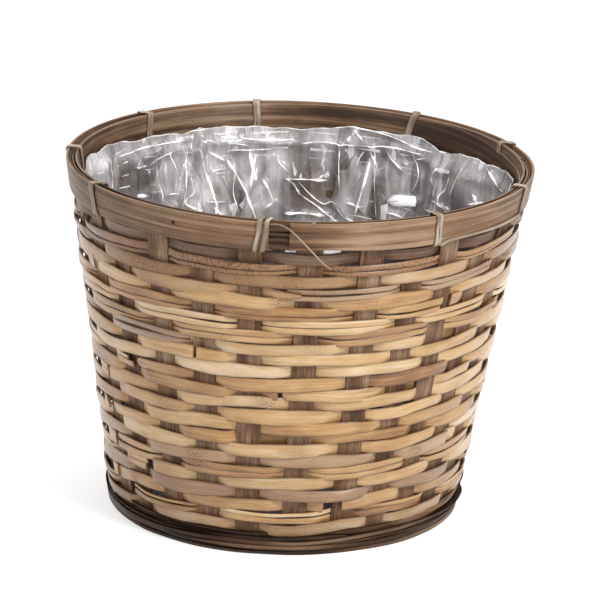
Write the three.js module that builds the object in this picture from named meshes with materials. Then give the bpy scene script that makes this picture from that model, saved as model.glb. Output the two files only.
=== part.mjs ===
// A round tapered planter basket, woven by hand, with a loose film liner.
//
// Flat bamboo splints cross in a woven mat under the base, turn up at the foot and stand round the wall
// as stakes. Rattan weavers climb the wall in one long spiral, over two stakes and under one. The stake
// ends are clamped between two bamboo hoops with a core of cane on top, and cane lashings tie the rim.
// The liner is an open film cup that stands on the base mat and lifts straight out.
//
// Millimetres, +Z up, the front of the basket faces -Y. Heights are measured from the surface it stands
// on. An azimuth is zero at the front and grows to the right, so it reaches +X after a quarter turn.
import * as THREE from "three";

const quarterAngle = Math.PI / 2;
const turnAngle = 4 * quarterAngle;

// Overall shape.
const basketHeight = 228;
const stakeRadiusAtFoot = 109.9;
const stakeRadiusAtTop = 145.2;
const rimShift = 7.3; // the rim stands this far to the right of the base
const rimDrop = 2.4; // the right side of the rim is this much lower than its middle

// Clearances between pieces that touch on the real basket.
const seatGap = 0.3;
const rowGap = 0.4;
const jointGap = 1; // between two strips that meet end to end

// Splints, which are the base mat and the stakes.
const stakeCount = 28;
const stakeWidth = 15;
const stakeThickness = 1.2;
const matGap = 1.6;
const turnUpSteps = 2;

// Golden weavers.
const weaverThickness = 1.8;
const weaverRoundCount = 25;
const weaverCount = 7;

// Dark weavers at the foot, and the dark band under the rim.
const footWeaverThickness = 1.4;
const footWeaverRoundCount = 3;
const footWeaverPitch = 4.5;
const bandHeight = 7.2;
const bandThickness = 1.3;

// Dark cane round the spokes of the base.
const baseCaneRoundCount = 1;
const baseCanePitch = 5;
const baseCaneThickness = 1;
const baseCaneLift = 1.3; // free height under it

// Foot hoop.
const footHoopHeight = 5;
const footHoopThickness = 2.4;

// Rim.
const hoopHeight = 19;
const hoopThickness = 2;
const innerHoopBelowRim = 0.6;
const coreWidth = 3;
const coreHeight = 4;
const coreBelowRim = 1.2;
const hoopLap = 50;
const lapBesideLashing = 15; // from a lashing to the end of the outer hoop on top
const hoopTipThickness = 0.8;
const ringSides = 64;
const lapSteps = 3;

// Lashings, and the two loose stretches of cane that go on from them.
const laceWidth = 2.6;
const laceThickness = 0.8;
const laceTurns = 2;
const laceSpacing = 3.2;
const laceBend = 1.2; // length of a bend where a turn goes on as a loose stretch
const laceClearance = 0.7; // between the lace under the hoops and the band
const runnerWidth = 1.8;
const runnerRise = 1.6;
const runnerSteps = 8;
const tailWidth = 1.4;
const tailBelowRim = 4;
const tailDrop = 27;
const tailReach = 40;
const tailBow = 3.2;
const tailSteps = 8;

// Liner.
const linerThickness = 1;
const linerClearance = 1; // to the inner turns of the lashings
const linerTopBelowRim = 13;

// The weaver passes inside every third stake.
const twillCount = 3;
const firstInsideIndex = 0;

// How far each stake has drifted from even spacing, in shares of the stake pitch. The first stake is the
// leftmost of the seven at the front, and they go on to the right.
const stakeDriftShares = [
  0.09, 0.09, 0.09, 0.26, 0.46, 0.4, 0.21, 0.16, 0.1, 0, 0, 0, 0.42, 0.2,
  0.05, 0, 0, 0, 0.25, 0.1, 0, -0.1, -0.2, -0.35, 0, 0, 0.09, 0,
];

// Each lashing sits in the gap after a stake, at a share of the way to the next stake.
const lashingPlaces = [
  { stake: 2, gapShare: 0.26 },
  { stake: 5, gapShare: 0.43 },
  { stake: 8, gapShare: 0.4 },
  { stake: 11, gapShare: 0.53 },
  { stake: 14, gapShare: 0.52 },
  { stake: 17, gapShare: 0.74 },
  { stake: 20, gapShare: 0.58 },
  { stake: 23, gapShare: 0.74 },
  { stake: 26, gapShare: 0.35 },
];
const tailLashingIndex = 0; // also the one beside which the outer hoop laps
const runnerLashingIndex = 1;
const innerLapLashingIndex = 6;

// Worked out from the sizes above.
const wallSlope = (stakeRadiusAtTop - stakeRadiusAtFoot) / basketHeight;
const wallLean = Math.atan(wallSlope);
const stakePitch = turnAngle / stakeCount;
const familySize = Math.round(stakeCount / 4);
const familyHalf = (familySize - 1) / 2;
const matPitch = stakeWidth + matGap;
const matLevel = (stakeThickness + seatGap) / 2;
const matEdge = (familySize * matPitch) / 2 + matGap;
const matHeight = baseCaneLift + baseCaneThickness + seatGap + stakeThickness / 2;
const footWeaverBottom = footHoopHeight + rowGap;
const turnUpRadius = footWeaverBottom - matHeight;
const turnUpStart = stakeRadiusAtFoot + wallSlope * footWeaverBottom - turnUpRadius / Math.cos(wallLean);
const baseCaneStart = turnUpStart - rowGap - baseCanePitch * (baseCaneRoundCount + 1);
const spokeStart = baseCaneStart - rowGap;
const weaverBottom = footWeaverBottom + (footWeaverRoundCount - 1) * footWeaverPitch;
const hoopBottom = basketHeight - hoopHeight;
const bandTop = hoopBottom - seatGap - laceThickness - laceClearance;
const bandBottom = bandTop - bandHeight;
const weaverPitch = (bandBottom - rowGap - weaverBottom) / (weaverRoundCount - 1);
const coreTop = basketHeight - coreBelowRim;
const stakeTop = coreTop - coreHeight - seatGap;
const coreInner = seatGap - stakeThickness / 2;
const coreOuter = coreInner + coreWidth;
const outerHoopInner = coreOuter + seatGap;
const outerHoopOuter = outerHoopInner + hoopThickness;
const innerHoopOuter = -stakeThickness / 2 - seatGap;
const innerHoopInner = innerHoopOuter - hoopThickness;
const rimRadius = stakeRadiusAtTop + outerHoopOuter;
const wallOutside = stakeThickness / 2 + seatGap + weaverThickness;
const laceCorner = seatGap; // cut off the corners of a turn, which still clears the hoops' edges
const linerOutside = innerHoopInner - seatGap - laceThickness - linerClearance;

const stakeRadius = (height) => stakeRadiusAtFoot + wallSlope * height;

// A point of the straight basket, moved to where the leaning basket has it.
function leaned(x, y, height) {
  const climb = height / basketHeight;
  return new THREE.Vector3(x + rimShift * (climb - 1), y, height - rimDrop * climb * (x / rimRadius));
}

// A point in the frame of a stake or of any azimuth: out along the radius, and across to the right.
function onWall(azimuth, radius, across, height) {
  const out = { x: Math.sin(azimuth), y: -Math.cos(azimuth) };
  return leaned(out.x * radius - out.y * across, out.y * radius + out.x * across, height);
}

function stakeAzimuth(stake) {
  const place = ((stake % stakeCount) + stakeCount) % stakeCount;
  const rounds = (stake - place) / stakeCount;
  return (place - familyHalf + (stakeDriftShares[place] ?? 0)) * stakePitch + rounds * turnAngle;
}

// Joins four-cornered sections into one closed strip. A section runs inner-low, outer-low, outer-high,
// inner-high, seen by someone who walks along the strip with its outer side to the right.
function strip(sections, closed = false) {
  const corners = 4;
  const points = sections.flat();
  const index = [];
  const last = closed ? sections.length : sections.length - 1;
  for (let i = 0; i < last; i++) {
    const here = i * corners;
    const next = ((i + 1) % sections.length) * corners;
    for (let j = 0; j < corners; j++) {
      const k = (j + 1) % corners;
      index.push(here + j, next + j, next + k, here + j, next + k, here + k);
    }
  }
  if (!closed) {
    const end = (sections.length - 1) * corners;
    index.push(0, 1, 2, 0, 2, 3, end, end + 2, end + 1, end, end + 3, end + 2);
  }
  const geometry = new THREE.BufferGeometry().setFromPoints(points);
  geometry.setIndex(index);
  geometry.computeVertexNormals();
  return geometry;
}

const mixSections = (a, b, share) => a.map((point, j) => point.clone().lerp(b[j], share));

// A section of a strip that lies along the wall, from low to high, with its middle a distance out from
// the stakes.
function wallSection(azimuth, across, out, thickness, low, high, stretch = 1) {
  const corner = (side, height) =>
    onWall(azimuth, (stakeRadius(height) + out + (side * thickness) / 2) * stretch, across, height);
  return [corner(-1, low), corner(1, low), corner(1, high), corner(-1, high)];
}

// The sections of a strip that is woven round the stakes. isOver says whether a pass goes outside its
// stake, and edges gives the low and high edge at a pass.
function wovenSections(firstPass, lastPass, thickness, isOver, edges) {
  const away = stakeThickness / 2 + seatGap + thickness / 2;
  const sections = [];
  const atStake = (pass, side) => {
    const [low, high] = edges(pass);
    const out = isOver(pass) ? away : -away;
    return wallSection(stakeAzimuth(pass), (side * stakeWidth) / 2, out, thickness, low, high);
  };
  for (let pass = firstPass; pass <= lastPass; pass++) {
    const over = isOver(pass);
    if (pass === firstPass || !over || !isOver(pass - 1)) sections.push({ pass, at: atStake(pass, -1) });
    if (over && isOver(pass + 1) && pass < lastPass) {
      const here = stakeAzimuth(pass);
      const half = (stakeAzimuth(pass + 1) - here) / 2;
      const [low, high] = edges(pass + 1 / 2);
      const at = wallSection(here + half, 0, away, thickness, low, high, 1 / Math.cos(half));
      sections.push({ pass, at });
    } else {
      sections.push({ pass, at: atStake(pass, 1) });
    }
  }
  return sections;
}

// The low and high edge of a spiral strip whose first round grows from nothing and whose last round
// shrinks to nothing, so that the whole band of rounds is level below and above.
function spiralEdges(bottom, pitch, rounds) {
  return (pass) => {
    const climbed = pass / stakeCount;
    const low = bottom + pitch * Math.max(0, climbed - 1);
    const high = bottom + pitch * Math.min(climbed, rounds - 1) - rowGap;
    return [low, high];
  };
}

const twill = (pass) => (((pass - firstInsideIndex) % twillCount) + twillCount) % twillCount !== 0;

// One spiral of weaving cut into strips of equal length, which meet end to end.
function spiralStrips(bottom, pitch, rounds, thickness, count) {
  const least = rowGap + thickness;
  const skipped = Math.ceil((least / pitch) * stakeCount);
  const firstPass = skipped;
  const lastPass = rounds * stakeCount - skipped;
  const sections = wovenSections(firstPass, lastPass, thickness, twill, spiralEdges(bottom, pitch, rounds));
  const strips = [];
  let rest = sections;
  for (let k = 1; k < count; k++) {
    const cutPass = firstPass + Math.round(((lastPass - firstPass) * k) / count);
    const at = rest.findIndex((section) => section.pass >= cutPass);
    const before = rest[at - 1].at;
    const after = rest[at].at;
    const backOff = jointGap / before[0].distanceTo(after[0]) / 2;
    const tip = mixSections(before, after, 1 / 2 - backOff);
    const root = mixSections(before, after, 1 / 2 + backOff);
    strips.push([...rest.slice(0, at).map((section) => section.at), tip]);
    rest = [{ pass: cutPass, at: root }, ...rest.slice(at)];
  }
  strips.push(rest.map((section) => section.at));
  return strips.map((list) => strip(list));
}

// A ring of the wall's own taper between two distances from the stakes.
function wallRing(inner, outer, low, high) {
  const sections = [];
  for (let i = 0; i < ringSides; i++) {
    const azimuth = (i / ringSides) * turnAngle;
    sections.push(wallSection(azimuth, 0, (inner + outer) / 2, outer - inner, low, high));
  }
  return strip(sections, true);
}

// A hoop bent from one strip, whose thinned ends are scarfed over each other from an azimuth on. Its fixed
// side lies towards the wall, and the end on top rises away from it. That end comes from the right on the
// outer hoop and from the left on the inner one.
function lappedHoop(fixedSide, low, high, lapAzimuth, outwards) {
  const away = outwards ? 1 : -1;
  const lapTurn = hoopLap / rimRadius;
  const mirrored = 2 * lapAzimuth + lapTurn;
  const section = (azimuth, near, far) => {
    const out = fixedSide + (away * (near + far)) / 2;
    return wallSection(outwards ? mirrored - azimuth : azimuth, 0, out, far - near, low, high);
  };
  const lower = (share) => hoopTipThickness + (hoopThickness - hoopTipThickness) * share;
  const sections = [];
  for (let i = 0; i <= lapSteps; i++) {
    sections.push(section(lapAzimuth + (lapTurn * i) / lapSteps, 0, lower(i / lapSteps)));
  }
  const plainSteps = Math.ceil(((turnAngle - lapTurn) / turnAngle) * ringSides);
  for (let i = 1; i < plainSteps; i++) {
    const azimuth = lapAzimuth + lapTurn + ((turnAngle - lapTurn) * i) / plainSteps;
    sections.push(section(azimuth, 0, hoopThickness));
  }
  for (let i = 0; i <= lapSteps; i++) {
    const share = i / lapSteps;
    const near = lower(share) + seatGap;
    const far = hoopThickness + (seatGap + hoopTipThickness) * share;
    sections.push(section(lapAzimuth + turnAngle + lapTurn * share, near, far));
  }
  return strip(outwards ? sections.reverse() : sections);
}

// The dark band under the rim: over one stake and under one, with its ends meeting between two stakes.
function bandStrip() {
  const alternate = (pass) => pass % 2 === 1;
  const edges = () => [bandBottom, bandTop];
  const sections = wovenSections(0, stakeCount - 1, bandThickness, alternate, edges).map((s) => s.at);
  const last = sections[sections.length - 1];
  const length = last[0].distanceTo(sections[0][0]);
  return strip([...sections, mixSections(last, sections[0], 1 - jointGap / length)]);
}

// One splint: a straight run across the mat, a fan out to its two stakes, a turn up and the stakes.
function splintStrip(alongY, place) {
  const offset = (place - familyHalf) * matPitch;
  const first = alongY ? place : familySize + place;
  const second = alongY ? 3 * familySize - 1 - place : 4 * familySize - 1 - place;
  const runSide = alongY ? -1 : 1; // family along Y starts at the front, family along X at the right

  // A section from a point on the middle line: width vector to the left, and thickness vector.
  const section = (middle, across, through) => {
    const corner = (w, t) => {
      const p = middle.clone().addScaledVector(across, w / 2).addScaledVector(through, t / 2);
      return leaned(p.x, p.y, p.z);
    };
    return [corner(-1, 1), corner(-1, -1), corner(1, -1), corner(1, 1)];
  };

  // The sections of one end, from the mat outwards and up the wall.
  const end = (stake, way) => {
    const azimuth = stakeAzimuth(stake);
    const out = new THREE.Vector3(Math.sin(azimuth), -Math.cos(azimuth), 0);
    const right = new THREE.Vector3(Math.cos(azimuth), Math.sin(azimuth), 0);
    const up = new THREE.Vector3(0, 0, 1);
    const place = (radius, height) => out.clone().multiplyScalar(radius).setZ(height);
    const list = [{ middle: place(spokeStart, matHeight), across: right, through: up }];
    for (let i = 0; i <= turnUpSteps; i++) {
      const angle = ((quarterAngle - wallLean) * i) / turnUpSteps;
      const inward = up.clone().multiplyScalar(Math.cos(angle)).addScaledVector(out, -Math.sin(angle));
      const middle = place(turnUpStart, footWeaverBottom).addScaledVector(inward, -turnUpRadius);
      list.push({ middle, across: right, through: inward });
    }
    const { through } = list[list.length - 1];
    list.push({ middle: place(stakeRadius(stakeTop), stakeTop), across: right, through });
    return list.map(({ middle, across, through }) =>
      section(
        middle,
        across.clone().multiplyScalar(way * stakeWidth),
        through.clone().multiplyScalar(stakeThickness),
      ),
    );
  };

  // The straight run: level over each crossing splint, and a step between crossings.
  const run = [];
  const across = alongY ? new THREE.Vector3(1, 0, 0) : new THREE.Vector3(0, 1, 0);
  const width = across.clone().multiplyScalar(stakeWidth);
  const through = new THREE.Vector3(0, 0, stakeThickness);
  const flat = (along, level) => {
    const middle = alongY
      ? new THREE.Vector3(offset, along, matHeight + level)
      : new THREE.Vector3(along, offset, matHeight + level);
    return section(middle, width, through);
  };
  run.push(flat(runSide * matEdge, 0));
  for (let i = 0; i < familySize; i++) {
    const crossing = runSide === 1 ? familySize - 1 - i : i;
    const middle = (crossing - familyHalf) * matPitch;
    const over = (crossing + place) % 2 === 0 ? 1 : -1;
    const level = (alongY ? over : -over) * matLevel;
    run.push(flat(middle + (runSide * stakeWidth) / 2, level));
    run.push(flat(middle - (runSide * stakeWidth) / 2, level));
  }
  run.push(flat(-runSide * matEdge, 0));

  return strip([...end(first, 1).reverse(), ...run, ...end(second, -1)]);
}

// Dark cane laid round the spokes of the base in a flat spiral, under two and over one.
function baseCane() {
  const away = stakeThickness / 2 + seatGap + baseCaneThickness / 2;
  const sections = [];
  for (let pass = 0; pass < baseCaneRoundCount * stakeCount; pass++) {
    const level = matHeight + (twill(pass) ? -away : away);
    const near = baseCaneStart + baseCanePitch * (pass / stakeCount);
    const far = near + baseCanePitch - rowGap;
    const corner = (radius, across, half) =>
      onWall(stakeAzimuth(pass), radius, across, level + half * baseCaneThickness);
    for (const side of [-1, 1]) {
      const across = (side * stakeWidth) / 2;
      sections.push([
        corner(near, across, -1 / 2),
        corner(far, across, -1 / 2),
        corner(far, across, 1 / 2),
        corner(near, across, 1 / 2),
      ]);
    }
  }
  return strip(sections);
}

// The foot hoop: a plain ring outside the turned-up splints.
function footHoop() {
  const splintCorner = Math.hypot(stakeRadius(footHoopHeight) + stakeThickness / 2, stakeWidth / 2);
  const inner = splintCorner / Math.cos(turnAngle / ringSides / 2) + seatGap;
  const outer = inner + footHoopThickness;
  const sections = [];
  for (let i = 0; i < ringSides; i++) {
    const azimuth = (i / ringSides) * turnAngle;
    const corner = (radius, height) => onWall(azimuth, radius, 0, height);
    sections.push([
      corner(inner, 0),
      corner(outer, 0),
      corner(outer, footHoopHeight),
      corner(inner, footHoopHeight),
    ]);
  }
  return strip(sections, true);
}

// A section of cane that lies on the outside of the wall and heads along it. Heading zero runs right, and
// it grows towards up.
function laidSection(azimuth, across, height, out, heading, width, thickness) {
  const corner = (side, depth) => {
    const sideways = across + (side * Math.sin(heading) * width) / 2;
    const upwards = height - (side * Math.cos(heading) * width) / 2;
    return onWall(azimuth, stakeRadius(height) + out + depth, sideways, upwards);
  };
  return [corner(-1, 0), corner(1, 0), corner(1, thickness), corner(-1, thickness)];
}

function lashingAzimuth({ stake, gapShare }) {
  const before = stakeAzimuth(stake);
  return before + (stakeAzimuth(stake + 1) - before) * gapShare;
}

// The stretch that goes on from the last turn of a lashing: up the outside to a height, then off to the
// right over a reach along the rim, falling by a drop on a curve that starts level.
function laceTrail(azimuth, across, { height, width, reach, drop, bow, endOut, steps }) {
  const out = outerHoopOuter + seatGap;
  const start = across + laceWidth / 2 + seatGap;
  const bend = height - width / 2 - laceBend;
  const sections = [laidSection(azimuth, across, bend, out, quarterAngle, laceWidth, laceThickness)];
  for (let i = 0; i <= steps; i++) {
    const share = i / steps;
    const along = start + (reach - start) * share;
    const fall = drop * (1 - Math.cos(share * quarterAngle));
    const steepness = (drop * quarterAngle * Math.sin(share * quarterAngle)) / (reach - start);
    const standOff = out + (endOut - out) * share + bow * Math.sin(2 * quarterAngle * share);
    sections.push(
      laidSection(
        azimuth + along / rimRadius,
        0,
        height - fall,
        standOff,
        -Math.atan(steepness),
        width,
        laceThickness,
      ),
    );
  }
  return sections;
}

const [runnerFrom, runnerTo] = [runnerLashingIndex, runnerLashingIndex + 1].map((number) =>
  lashingAzimuth(lashingPlaces[number]),
);
const runner = {
  height: hoopBottom + runnerRise + laceBend + runnerWidth / 2,
  width: runnerWidth,
  reach: (runnerTo - runnerFrom) * rimRadius - (laceTurns * laceSpacing) / 2 - laceWidth,
  drop: 0,
  bow: 0,
  endOut: outerHoopOuter + seatGap,
  steps: runnerSteps,
};
const tail = {
  height: basketHeight - tailBelowRim,
  width: tailWidth,
  reach: tailReach,
  drop: tailDrop,
  bow: tailBow,
  endOut: wallOutside + seatGap,
  steps: tailSteps,
};

// A lashing: a flat cane lace wound round the two hoops, through the wall under them and over the top.
function lashing(place, number) {
  const azimuth = lashingAzimuth(place);
  const low = hoopBottom - seatGap;
  const high = basketHeight + seatGap;
  const outside = outerHoopOuter + seatGap;
  const inside = innerHoopInner - seatGap;

  // Once round the hoops, from low on the outside. Extra is zero for the inner face of the lace and its
  // thickness for the outer face.
  const loop = (extra) => [
    { out: outside + extra, height: low + laceCorner },
    { out: outside + extra, height: high - laceCorner },
    { out: outside - laceCorner, height: high + extra },
    { out: inside + laceCorner, height: high + extra },
    { out: inside - extra, height: high - laceCorner },
    { out: inside - extra, height: low + laceCorner },
    { out: inside + laceCorner, height: low - extra },
    { out: outside - laceCorner, height: low - extra },
  ];
  const near = loop(0);
  const far = loop(laceThickness);
  const corner = ({ out, height }, across) => onWall(azimuth, stakeRadius(height) + out, across, height);
  const trail = number === runnerLashingIndex ? runner : number === tailLashingIndex ? tail : undefined;
  const middleOf = (turn) => (turn - (laceTurns - 1) / 2) * laceSpacing;
  const sections = [];
  for (let turn = 0; turn < laceTurns; turn++) {
    const isLast = turn === laceTurns - 1;
    const points = isLast && !trail ? near.length - 1 : near.length;
    for (let i = 0; i < points; i++) {
      const middle = middleOf(i === near.length - 1 ? turn + 1 : turn);
      const left = middle - laceWidth / 2;
      const right = middle + laceWidth / 2;
      sections.push([
        corner(near[i], left),
        corner(near[i], right),
        corner(far[i], right),
        corner(far[i], left),
      ]);
    }
  }
  if (trail) sections.push(...laceTrail(azimuth, middleOf(laceTurns), trail));
  return strip(sections);
}

// The film liner: an open cup of the wall's taper that stands on the base mat.
function linerCup() {
  const top = basketHeight - linerTopBelowRim;
  const matTop = Math.max(matLevel, seatGap + baseCaneThickness) + stakeThickness / 2;
  const bottom = matHeight + matTop + seatGap;
  const floor = bottom + linerThickness;
  const outer = (height) => stakeRadius(height) + linerOutside;
  const inner = (height) => outer(height) - linerThickness;
  const profile = [
    { radius: outer(bottom), height: bottom },
    { radius: outer(top), height: top },
    { radius: inner(top), height: top },
    { radius: inner(floor), height: floor },
  ];
  const points = [];
  for (const { radius, height } of profile) {
    for (let i = 0; i < ringSides; i++) points.push(onWall((i / ringSides) * turnAngle, radius, 0, height));
  }
  const under = points.push(leaned(0, 0, bottom)) - 1;
  const above = points.push(leaned(0, 0, floor)) - 1;
  const index = [];
  for (let i = 0; i < ringSides; i++) {
    const next = (i + 1) % ringSides;
    for (let ring = 0; ring < profile.length - 1; ring++) {
      const low = ring * ringSides;
      const high = low + ringSides;
      index.push(low + i, low + next, high + next, low + i, high + next, high + i);
    }
    const innermost = (profile.length - 1) * ringSides;
    index.push(under, next, i, above, innermost + i, innermost + next);
  }
  const geometry = new THREE.BufferGeometry().setFromPoints(points);
  geometry.setIndex(index);
  geometry.computeVertexNormals();
  return geometry;
}

// Finishes.
const finish = (color, roughness) => new THREE.MeshStandardMaterial({ color, roughness, metalness: 0 });
const goldenRattan = finish(0xc9a06c, 0.5);
const stakeBamboo = finish(0x6d5a4a, 0.7);
const darkCane = finish(0x4a3a2c, 0.7);
const rimBamboo = finish(0x8a6f56, 0.55);
const paleLace = finish(0xb9a58c, 0.6);
const clearFilm = finish(0xdfe2e6, 0.15);
clearFilm.transparent = true;
clearFilm.opacity = 0.35;

const basket = new THREE.Group();
function add(name, geometry, material) {
  const mesh = new THREE.Mesh(geometry, material);
  mesh.name = name;
  basket.add(mesh);
}
const numbered = (name, number) => `${name}_${String(number + 1).padStart(2, "0")}`;

// Base and stakes.
for (let place = 0; place < familySize; place++) {
  add(numbered("splint_front_to_back", place), splintStrip(true, place), stakeBamboo);
}
for (let place = 0; place < familySize; place++) {
  add(numbered("splint_side_to_side", place), splintStrip(false, place), stakeBamboo);
}
add("base_cane", baseCane(), darkCane);
add("foot_hoop", footHoop(), darkCane);

// Wall.
const [footWeaver] = spiralStrips(
  footWeaverBottom,
  footWeaverPitch,
  footWeaverRoundCount,
  footWeaverThickness,
  1,
);
add("foot_weaver", footWeaver, darkCane);
const golden = spiralStrips(weaverBottom, weaverPitch, weaverRoundCount, weaverThickness, weaverCount);
golden.forEach((geometry, number) => add(numbered("weaver", number), geometry, goldenRattan));
add("rim_band", bandStrip(), stakeBamboo);

// Rim.
const outerLap = lashingAzimuth(lashingPlaces[tailLashingIndex]) + lapBesideLashing / rimRadius;
const innerLap = lashingAzimuth(lashingPlaces[innerLapLashingIndex]);
const innerHoopTop = basketHeight - innerHoopBelowRim;
add("outer_hoop", lappedHoop(outerHoopInner, hoopBottom, basketHeight, outerLap, true), rimBamboo);
add("inner_hoop", lappedHoop(innerHoopOuter, hoopBottom, innerHoopTop, innerLap, false), rimBamboo);
add("rim_core", wallRing(coreInner, coreOuter, coreTop - coreHeight, coreTop), paleLace);
lashingPlaces.forEach((place, number) => add(numbered("lashing", number), lashing(place, number), paleLace));

// Liner.
add("liner", linerCup(), clearFilm);

export default basket;
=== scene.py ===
# The looks of a round, tapered, hand-woven planter basket with a loose clear film liner.
#
# Metres, +Z up, the front of the basket faces -Y. An azimuth is zero at the front and grows to the right,
# so it reaches +X after a quarter turn. A pass is one weaver going by one stake. Each piece carries a tone
# at each of its points. On cane, red runs through its colours, green brings stain, blue painted shade in
# recesses and under the rim, dirt with painted shade along edges, and alpha the grey of weathered strips.
import math

import bpy
import numpy as np
from mathutils import Matrix, Vector


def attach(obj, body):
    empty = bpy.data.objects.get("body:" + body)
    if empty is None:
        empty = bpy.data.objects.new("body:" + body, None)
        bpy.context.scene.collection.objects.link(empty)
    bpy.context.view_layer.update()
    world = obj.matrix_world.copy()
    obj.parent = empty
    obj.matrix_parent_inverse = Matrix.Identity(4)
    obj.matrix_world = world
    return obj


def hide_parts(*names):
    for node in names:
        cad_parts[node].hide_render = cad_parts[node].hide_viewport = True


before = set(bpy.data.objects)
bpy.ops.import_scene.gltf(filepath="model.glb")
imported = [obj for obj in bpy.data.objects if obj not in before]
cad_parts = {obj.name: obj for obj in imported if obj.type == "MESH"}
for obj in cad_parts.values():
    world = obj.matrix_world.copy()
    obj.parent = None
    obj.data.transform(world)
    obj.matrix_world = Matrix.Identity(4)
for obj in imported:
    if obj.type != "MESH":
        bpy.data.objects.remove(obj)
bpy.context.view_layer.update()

bpy.ops.object.select_all(action="DESELECT")

TURN = 2 * math.pi

# Overall shape, as in the frame.
BASKET_HEIGHT = 0.228
STAKE_RADIUS_AT_FOOT = 0.1099
STAKE_RADIUS_AT_TOP = 0.1452
MIDDLE_RADIUS = 0.127
RIM_SHIFT = 0.0073
RIM_DROP = 0.0024
SEAT_GAP = 0.0003
ROW_GAP = 0.0004

# Stakes and weavers.
STAKE_COUNT = 28
STAKE_WIDTH = 0.015
STAKE_THICKNESS = 0.0012
WEAVER_THICKNESS = 0.0018
WEAVER_ROUND_COUNT = 25
WEAVER_COUNT = 7
WEAVER_BOTTOM = 0.0144
FOOT_HOOP_HEIGHT = 0.005
BAND_HEIGHT = 0.0072
BAND_THICKNESS = 0.0013
TWILL_COUNT = 3

# Rim.
HOOP_HEIGHT = 0.019
HOOP_THICKNESS = 0.002
INNER_HOOP_BELOW_RIM = 0.0006
CORE_WIDTH = 0.003
CORE_HEIGHT = 0.004
CORE_BELOW_RIM = 0.0012
LACE_THICKNESS = 0.0008
LACE_CLEARANCE = 0.0007
LINER_CLEARANCE = 0.001

# How far each stake has drifted from even spacing, in shares of the stake pitch.
STAKE_DRIFT_SHARES = [
    0.09, 0.09, 0.09, 0.26, 0.46, 0.4, 0.21, 0.16, 0.1, 0, 0, 0, 0.42, 0.2,
    0.05, 0, 0, 0, 0.25, 0.1, 0, -0.1, -0.2, -0.35, 0, 0, 0.09, 0,
]

# Worked out from the sizes above.
WALL_SLOPE = (STAKE_RADIUS_AT_TOP - STAKE_RADIUS_AT_FOOT) / BASKET_HEIGHT
STAKE_PITCH = TURN / STAKE_COUNT
FRONT_STAKE = 3
HOOP_BOTTOM = BASKET_HEIGHT - HOOP_HEIGHT
BAND_TOP = HOOP_BOTTOM - SEAT_GAP - LACE_THICKNESS - LACE_CLEARANCE
BAND_BOTTOM = BAND_TOP - BAND_HEIGHT
WEAVER_PITCH = (BAND_BOTTOM - ROW_GAP - WEAVER_BOTTOM) / (WEAVER_ROUND_COUNT - 1)
CORE_INNER = SEAT_GAP - STAKE_THICKNESS / 2
CORE_OUTER = CORE_INNER + CORE_WIDTH
OUTER_HOOP_INNER = CORE_OUTER + SEAT_GAP
OUTER_HOOP_OUTER = OUTER_HOOP_INNER + HOOP_THICKNESS
INNER_HOOP_OUTER = -STAKE_THICKNESS / 2 - SEAT_GAP
INNER_HOOP_INNER = INNER_HOOP_OUTER - HOOP_THICKNESS
RIM_RADIUS = STAKE_RADIUS_AT_TOP + OUTER_HOOP_OUTER


# Camera: a long lens that looks down a little.
CAMERA_DISTANCE = 2.57
CAMERA_LOOKS_DOWN = math.radians(17.6)
CAMERA_ROLL = math.radians(1.05)
CAMERA_LENS = 237.6
CAMERA_SHIFT = (0.00433, 0.0475)


def make_camera():
    data = bpy.data.cameras.new("camera")
    data.lens = CAMERA_LENS
    data.shift_x, data.shift_y = CAMERA_SHIFT
    data.clip_end = 10 * CAMERA_DISTANCE
    camera = bpy.data.objects.new("camera", data)
    back = CAMERA_DISTANCE * math.cos(CAMERA_LOOKS_DOWN)
    up = CAMERA_DISTANCE * math.sin(CAMERA_LOOKS_DOWN)
    place = Matrix.Translation((0, -back, BASKET_HEIGHT / 2 + up))
    pitch = Matrix.Rotation(TURN / 4 - CAMERA_LOOKS_DOWN, 4, "X")
    camera.matrix_world = place @ pitch @ Matrix.Rotation(CAMERA_ROLL, 4, "Z")
    bpy.context.scene.collection.objects.link(camera)
    bpy.context.scene.camera = camera


make_camera()


# The wall that everything follows.
def stake_radius(height):
    return STAKE_RADIUS_AT_FOOT + WALL_SLOPE * height


def leaned(x, y, height):
    """Points of the straight basket, moved to where the leaning basket has them."""
    climb = height / BASKET_HEIGHT
    lean_x = x + RIM_SHIFT * (climb - 1)
    lean_z = height - RIM_DROP * climb * (x / RIM_RADIUS)
    return np.stack(np.broadcast_arrays(lean_x, y, lean_z), axis=-1)


def on_wall(azimuth, out, height):
    """Points a distance out from the middle of the stakes."""
    radius = stake_radius(height) + out
    return leaned(np.sin(azimuth) * radius, -np.cos(azimuth) * radius, height)


def pass_azimuth(passes):
    """The azimuth at a pass, which may lie between two stakes."""
    drift = np.array(STAKE_DRIFT_SHARES)
    before = np.floor(passes)
    share = passes - before

    def at_stake(stake):
        place = np.mod(stake, STAKE_COUNT).astype(int)
        rounds = (stake - place) / STAKE_COUNT
        return (place - FRONT_STAKE + drift[place]) * STAKE_PITCH + rounds * TURN

    return at_stake(before) * (1 - share) + at_stake(before + 1) * share


def smooth(share):
    share = np.clip(share, 0, 1)
    return share * share * (3 - 2 * share)


def wander(rng, along, size, reach):
    """A slow random drift of about a size, that turns about every reach of the way along.

    The drifts named among the sizes below are such a size and reach."""
    total = np.zeros_like(along, dtype=float)
    for octave in (1, 2.3, 4.1):
        phase = rng.uniform(0, TURN)
        total += np.sin(along / reach * octave * rng.uniform(0.8, 1.2) + phase) / octave
    return total * size / 2


def degrees_from(azimuth, at):
    """How many degrees each azimuth is from one, the short way round."""
    return (np.degrees(azimuth) - at + 180) % 360 - 180


def hump(off, reach):
    """One where off is zero, falling to nothing within about two reaches."""
    return np.exp(-((off / reach) ** 2))


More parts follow.
